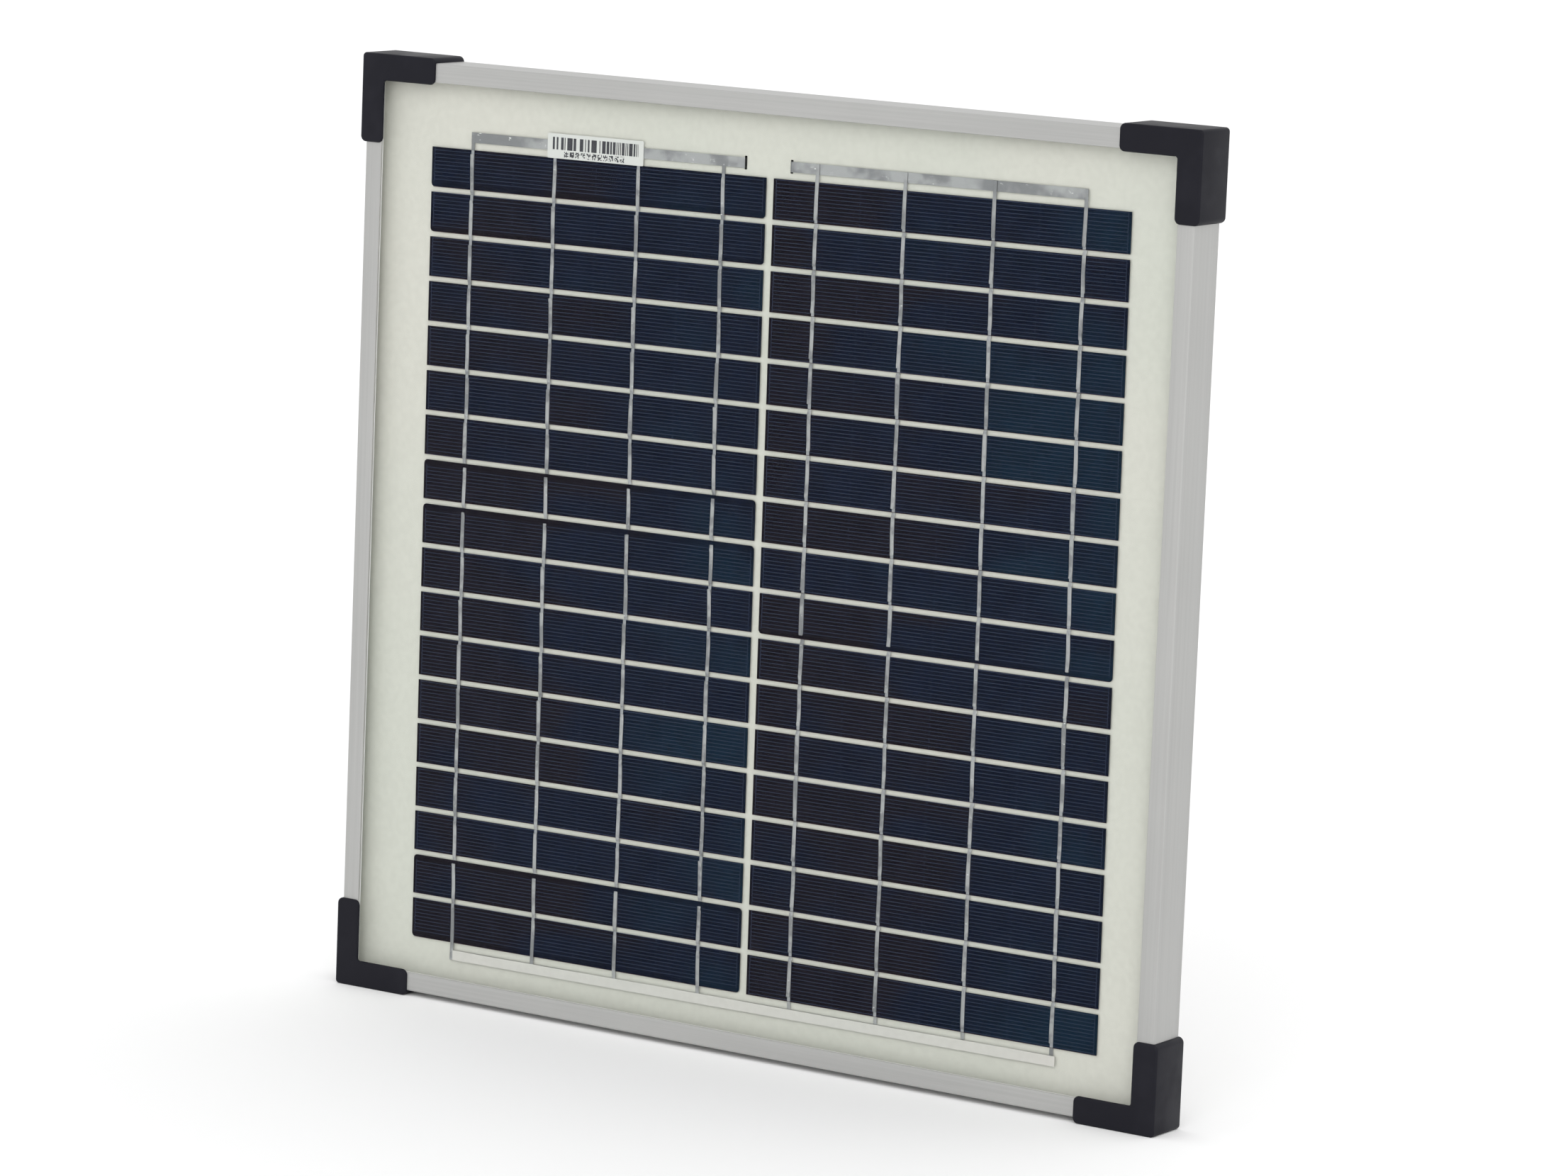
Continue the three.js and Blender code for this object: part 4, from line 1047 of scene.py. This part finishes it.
boxLow, boxHigh = nodeBox("junction_box_base")
boxX = (boxLow[0], boxLow[0] + junction["size"][0])
boxZ = (boxLow[2], boxHigh[2])
boxMiddleZ = (boxZ[0] + boxZ[1]) / 2
lidTop = nodeBox("junction_box_lid")[1][1]
rimY = lidTop - lidShape["thickness"]
hinge = next(joint for joint in frame["joints"] if joint["child"] == "lid")
hingeAt = np.array(hinge["pos_m"]) / mm
hingeAt[2] = boxMiddleZ


def makeBoxBase():
    shell, pivot, plastic = junction, hingeShape, materials["box"]
    outline = roundedOutline(rectangle(boxX, boxZ), shell["cornerRound"], 6)
    floor = boxLow[1] + shell["floor"]
    r, wall, foot = shell["rimRound"], shell["wall"], shell["footRound"]
    share = r * shell["roundShare"]
    rings = [
        (foot, boxLow[1]), (0, boxLow[1] + foot), (0, rimY - r), (share, rimY - share), (r, rimY),
        (wall - r, rimY), (wall - share, rimY - share), (wall, rimY - r), (wall, floor + foot),
        (wall + foot, floor),
    ]
    points, faces = ringsShell(outline, rings)
    base = addPiece("box_base", points, faces, plastic)
    glandLow, glandHigh = nodeBox("cable_gland")
    glandMiddle = (glandLow + glandHigh) / 2
    radius, reach = shell["glandHole"]
    at = (glandMiddle[0], glandMiddle[1], boxZ[0])
    hole = solidOf("hole", revolved([(radius, -reach), (radius, reach)], at, "z"), plastic)
    cutAway(base, [hole, *leadSlits(boxLow[1] - shell["past"], floor + shell["past"], plastic)])
    more = []
    near = pivot["barrelLength"] / 2 + shell["gap"]
    far = near + pivot["lugLength"]
    R, e, short = pivot["barrelRadius"], pivot["lugEdge"], pivot["rootShort"]
    lug = [(R - e, near), (R, near + e), (R, far - e), (R - e, far)]
    pinInner = near - pivot["barrelLength"] / 3 + pivot["pinShort"]
    pin = [(pivot["pinRadius"], pinInner), (pivot["pinRadius"], far - e)]
    for way in (-1, 1):
        more.append(solidOf("lug", revolved([(a, way * b) for a, b in lug], hingeAt, "z"), plastic))
        more.append(solidOf("pin", revolved([(a, way * b) for a, b in pin], hingeAt, "z", sides=24),
                            plastic))
        z = sorted((boxMiddleZ + way * (near + short), boxMiddleZ + way * (far - short)))
        more.append(blockOf("root", (boxX[1] - pivot["rootBite"], hingeAt[0]),
                            (hingeAt[1] - R, hingeAt[1]), z, plastic, pivot["armRound"]))
    cutAway(base, more, "UNION")
    return finishPiece(base, "box_plastic", "panel", "junction_box_base")


def makeLid():
    # plate with a sunk field, a rim inside the box, a barrel on the hinge side, a ribbed finger tab
    shell, shape, pivot, plastic = junction, lidShape, hingeShape, materials["box"]
    outline = roundedOutline(rectangle(boxX, boxZ), shell["cornerRound"], 6)
    t = np.linspace(0, math.pi / 2, 5)
    edge = [(shape["round"] * (1 - math.cos(a)), lidTop - shape["round"] * (1 - math.sin(a))) for a in t]
    field = [(inset, lidTop - drop) for inset, drop in shape["field"]]
    foot = shape["footRound"]
    rings = [(shape["footFlat"], rimY), (foot, rimY), (0, rimY + foot), *edge, *field]
    points, faces = ringsShell(outline, rings)
    lid = addPiece("box_lid", points, faces, plastic)

    inset, low = shell["wall"] + shell["gap"], rimY - shape["rimDepth"]
    ring = rectangle((boxX[0] + inset, boxX[1] - inset), (boxZ[0] + inset, boxZ[1] - inset))
    places, outward = roundedOutline(ring, shape["rimCorner"], 5)
    wall, e = shape["rimWall"], shape["rimEdge"]
    section = np.array([
        [0, rimY + shape["rimBite"]], [0, low + e], [e, low], [wall - e, low], [wall, low + e],
        [wall, rimY + shape["rimBite"]],
    ])
    points, quads = sweptRing(places, outward, section)
    rim = addPiece("rim", points, quads, plastic)

    half = shape["tabWidth"] / 2
    tab = blockOf("tab", (boxX[0] - shape["tabReach"], boxX[0] + shape["tabBite"]),
                  (rimY, lidTop - shape["tabDrop"]), (boxMiddleZ - half, boxMiddleZ + half), plastic,
                  shape["tabRound"])
    ribX = (boxX[0] - shape["ribX"][0], boxX[0] + shape["ribX"][1])
    ribs = []
    for n in range(-(shape["ribs"] // 2), shape["ribs"] // 2 + 1):
        z = boxMiddleZ + n * shape["ribPitch"]
        ribs.append(blockOf("rib", ribX, (lidTop - shape["ribDepth"], lidTop),
                            (z - shape["ribHalf"], z + shape["ribHalf"]), plastic, shape["ribRound"]))
    R, L, e = pivot["barrelRadius"], pivot["barrelLength"] / 2, pivot["barrelEdge"]
    profile = [(R - e, -L), (R, -L + e), (R, L - e), (R - e, L)]
    barrel = solidOf("barrel", revolved(profile, hingeAt, "z"), plastic)
    reach = L - pivot["armShort"]
    arm = blockOf("arm", (boxX[1] - pivot["armBite"], hingeAt[0]),
                  (rimY + shape["hair"], lidTop - shape["hair"]),
                  (boxMiddleZ - reach, boxMiddleZ + reach), plastic, pivot["armRound"])
    cutAway(lid, [rim, tab, *ribs, barrel, arm], "UNION")
    bore, reach = pivot["pinRadius"] + shell["gap"], L + shell["past"]
    cutAway(lid, [solidOf("bore", revolved([(bore, -reach), (bore, reach)], hingeAt, "z", sides=28),
                          plastic)])
    return finishPiece(lid, "box_plastic", "lid", "junction_box_lid")


glandShape = {
    "body": 4.3, "hex": 9.4, "hexHeight": 4.0, "neck": 1.6, "bore": 3.3, "flutes": 14,
    "fluteDepth": 0.07, "domeRound": 1.4, "domeDrop": 1.0, "edge": 0.35, "neckEdge": 0.2,
    "groove": 0.25, "collar": 1.3, "cornerCut": 1.06,
}


def makeGland():
    # hexagon r = a / cos(t mod 60 deg - 30 deg), then a fluted dome nut r = R (1 - d cos^8(n t / 2))
    gland = glandShape
    low, high = nodeBox("cable_gland")
    middle = (low + high) / 2
    hexTop, hexLow = high[2] - gland["neck"], high[2] - gland["neck"] - gland["hexHeight"]
    flat, body, bore, bottom = gland["hex"] / 2, gland["body"], gland["bore"], low[2]
    edge, small, groove = gland["edge"], gland["neckEdge"], gland["groove"]
    dome = [(bore + edge, bottom), (body - gland["domeDrop"], bottom), (body - edge, bottom + 0.5),
            (body, bottom + gland["domeRound"]), (body, hexLow - gland["collar"]), (body, hexLow - 0.5),
            (body - groove, hexLow - small), (body - groove, hexLow)]
    hexagonRows = [(flat - 0.3, hexLow), (flat, hexLow + edge), (flat, hexTop - groove),
                   (flat - groove, hexTop)]
    neck = [(body, hexTop), (body, high[2] - small), (body - small, high[2]),
            (bore + small, high[2]), (bore, high[2] - 0.3), (bore, bottom + 0.4)]

    def grow(t, radius):
        hexagon = 1 / np.cos((t + math.pi / 6) % (math.pi / 3) - math.pi / 6)
        fluted = 1 - gland["fluteDepth"] * np.cos(gland["flutes"] * t / 2) ** 8
        scale = np.ones((len(radius), len(t)))
        first = len(dome)
        scale[first + 1:first + 3] = hexagon
        scale[first] = scale[first + 3] = np.minimum(hexagon, gland["cornerCut"])
        scale[3:5] = fluted
        return scale

    at = (middle[0], middle[1], 0)
    points, rows, columns = revolved(dome + hexagonRows + neck, at, "z", grow, 168)
    quads = gridQuads(rows + 1, columns) % len(points)
    piece = addPiece("round_cable_gland", points, quads.tolist(), materials["gland"], smooth=30)
    return finishPiece(piece, "gland_plastic", "panel", "cable_gland")


terminal = {
    "lift": 1.0, "thickness": 0.8, "plateRound": 0.35, "footHalf": (3.5, 1.5), "footAt": 10.0,
    "footBite": 0.3, "footRound": 0.1, "screwBelow": 7.0, "screwHeight": 1.4,
    "screw": ((2.2, -0.6), (2.2, 0.9), (1.9, 1.25), (1.2, 1.4)),   # (radius, height)
    "slotReach": 3.0, "slotHalf": 0.3, "slotDepth": 0.6, "slotRound": 0.05, "past": 1.0,
}


def makeTerminal(side):
    # plate on two feet with a slotted screw
    part, metal = terminal, materials["bus"]
    low, high = nodeBox("terminal_" + side)
    plateY = (low[1] + part["lift"], low[1] + part["lift"] + part["thickness"])
    plate = blockOf("terminal_plate_" + side, (low[0], high[0]), plateY, (low[2], high[2]), metal,
                    part["plateRound"])
    middleX, middleZ = (low[0] + high[0]) / 2, (low[2] + high[2]) / 2
    halfX, halfZ = part["footHalf"]
    feet = []
    for way in (-1, 1):
        z = middleZ + way * part["footAt"]
        feet.append(blockOf("foot", (middleX - halfX, middleX + halfX),
                            (low[1], plateY[0] + part["footBite"]), (z - halfZ, z + halfZ), metal,
                            part["footRound"]))
    screwZ = middleZ - part["screwBelow"]
    at = (middleX, high[1] - part["screwHeight"], screwZ)
    head = solidOf("screw", revolved(part["screw"], at, "y"), metal)
    slot = blockOf("slot", (middleX - part["slotReach"], middleX + part["slotReach"]),
                   (high[1] - part["slotDepth"], high[1] + part["past"]),
                   (screwZ - part["slotHalf"], screwZ + part["slotHalf"]), metal, part["slotRound"])
    cutAway(head, [slot])
    cutAway(plate, [*feet, head], "UNION")
    return finishPiece(plate, "tinned_copper", "panel", "terminal_" + side)


diode = {"wire": 0.55, "wireEnd": 0.3, "wireEdge": 0.2, "half": 4.5, "shoulder": (0.7, 0.15),
         "shoulderAt": (4.2, 3.6)}


def makeDiode():
    # axial body with rounded ends on its wire, r(h) turned about X
    low, high = nodeBox("bypass_diode")
    middle = (low + high) / 2
    reach, R = (high[0] - low[0]) / 2, (high[1] - low[1]) / 2
    wire, half, tip = diode["wire"], diode["half"], reach - diode["wireEdge"]
    (deep, slight), (outer, inner) = diode["shoulder"], diode["shoulderAt"]
    profile = [
        (diode["wireEnd"], -reach), (wire, -tip), (wire, -half), (R - deep, -half),
        (R - slight, -outer), (R, -inner), (R, inner), (R - slight, outer), (R - deep, half),
        (wire, half), (wire, tip), (diode["wireEnd"], reach),
    ]
    piece = solidOf("diode_body", revolved(profile, middle, "x"), materials["diode"])
    return finishPiece(piece, "diode", "panel", "bypass_diode")


makeBoxBase()
makeLid()
makeGland()
makeTerminal("negative")
makeTerminal("positive")
makeDiode()
print("junction box placed")


# ---- floor, light and camera

stage = {
    "floorSize": 40.0, "floorColour": (0.97, 0.97, 0.97),
    "skyColour": (1.0, 1.0, 1.0), "sky": 1.0,
    "keyFrom": (0.42, -0.75, 0.50), "keyStrength": 0.95, "keySoftness": 50.0,
    "camera": (1.34945, -2.04569, 0.56811), "aim": (81.0402, -2.2926, 33.5609), "lens": 149.41,
}


def makeFloor():
    material, tree, shader = startMaterial("paleFloor", stage["floorColour"], 0.9)
    cloud = ramp(tree, noise(tree, objectPlace(tree), 1.2, 2.0), 0.3, 0.7, 0.985, 1.0)
    colour = blendColour(tree, 1.0, stage["floorColour"], cloud, "MULTIPLY")
    feed(tree, shader.inputs["Base Color"], colour)
    half = stage["floorSize"] / 2 / mm
    mesh = bpy.data.meshes.new("floor")
    square = np.array(rectangle((-half, half), (-half, half)))
    points = np.stack([square[:, 0], square[:, 1], 0 * square[:, 0]], axis=-1) * mm
    mesh.from_pydata(points.tolist(), [], [[0, 1, 2, 3]])
    mesh.materials.append(material)
    floor = bpy.data.objects.new("floor", mesh)
    bpy.context.scene.collection.objects.link(floor)


def makeLight():
    light = bpy.data.lights.new("softKey", "SUN")
    light.energy, light.angle = stage["keyStrength"], math.radians(stage["keySoftness"])
    lamp = bpy.data.objects.new("softKey", light)
    bpy.context.scene.collection.objects.link(lamp)
    x, y, z = np.array(stage["keyFrom"]) / np.linalg.norm(stage["keyFrom"])
    lamp.rotation_euler = (math.acos(z), 0, math.atan2(x, -y))
    world = bpy.data.worlds.new("studio")
    world.use_nodes = True
    sky = world.node_tree.nodes["Background"]
    sky.inputs["Color"].default_value = (*stage["skyColour"], 1.0)
    sky.inputs["Strength"].default_value = stage["sky"]
    bpy.context.scene.world = world


def makeCamera():
    lens = bpy.data.cameras.new("studioCamera")
    lens.lens, lens.sensor_width = stage["lens"], 36.0
    lens.clip_start, lens.clip_end = 0.05, 60.0
    camera = bpy.data.objects.new("studioCamera", lens)
    camera.location = stage["camera"]
    camera.rotation_euler = [math.radians(angle) for angle in stage["aim"]]
    bpy.context.scene.collection.objects.link(camera)
    bpy.context.scene.camera = camera


makeFloor()
makeLight()
makeCamera()
bpy.context.scene.view_settings.view_transform = "Standard"
bpy.context.scene.cycles.transparent_max_bounces = 24
print("floor, light and camera ready")
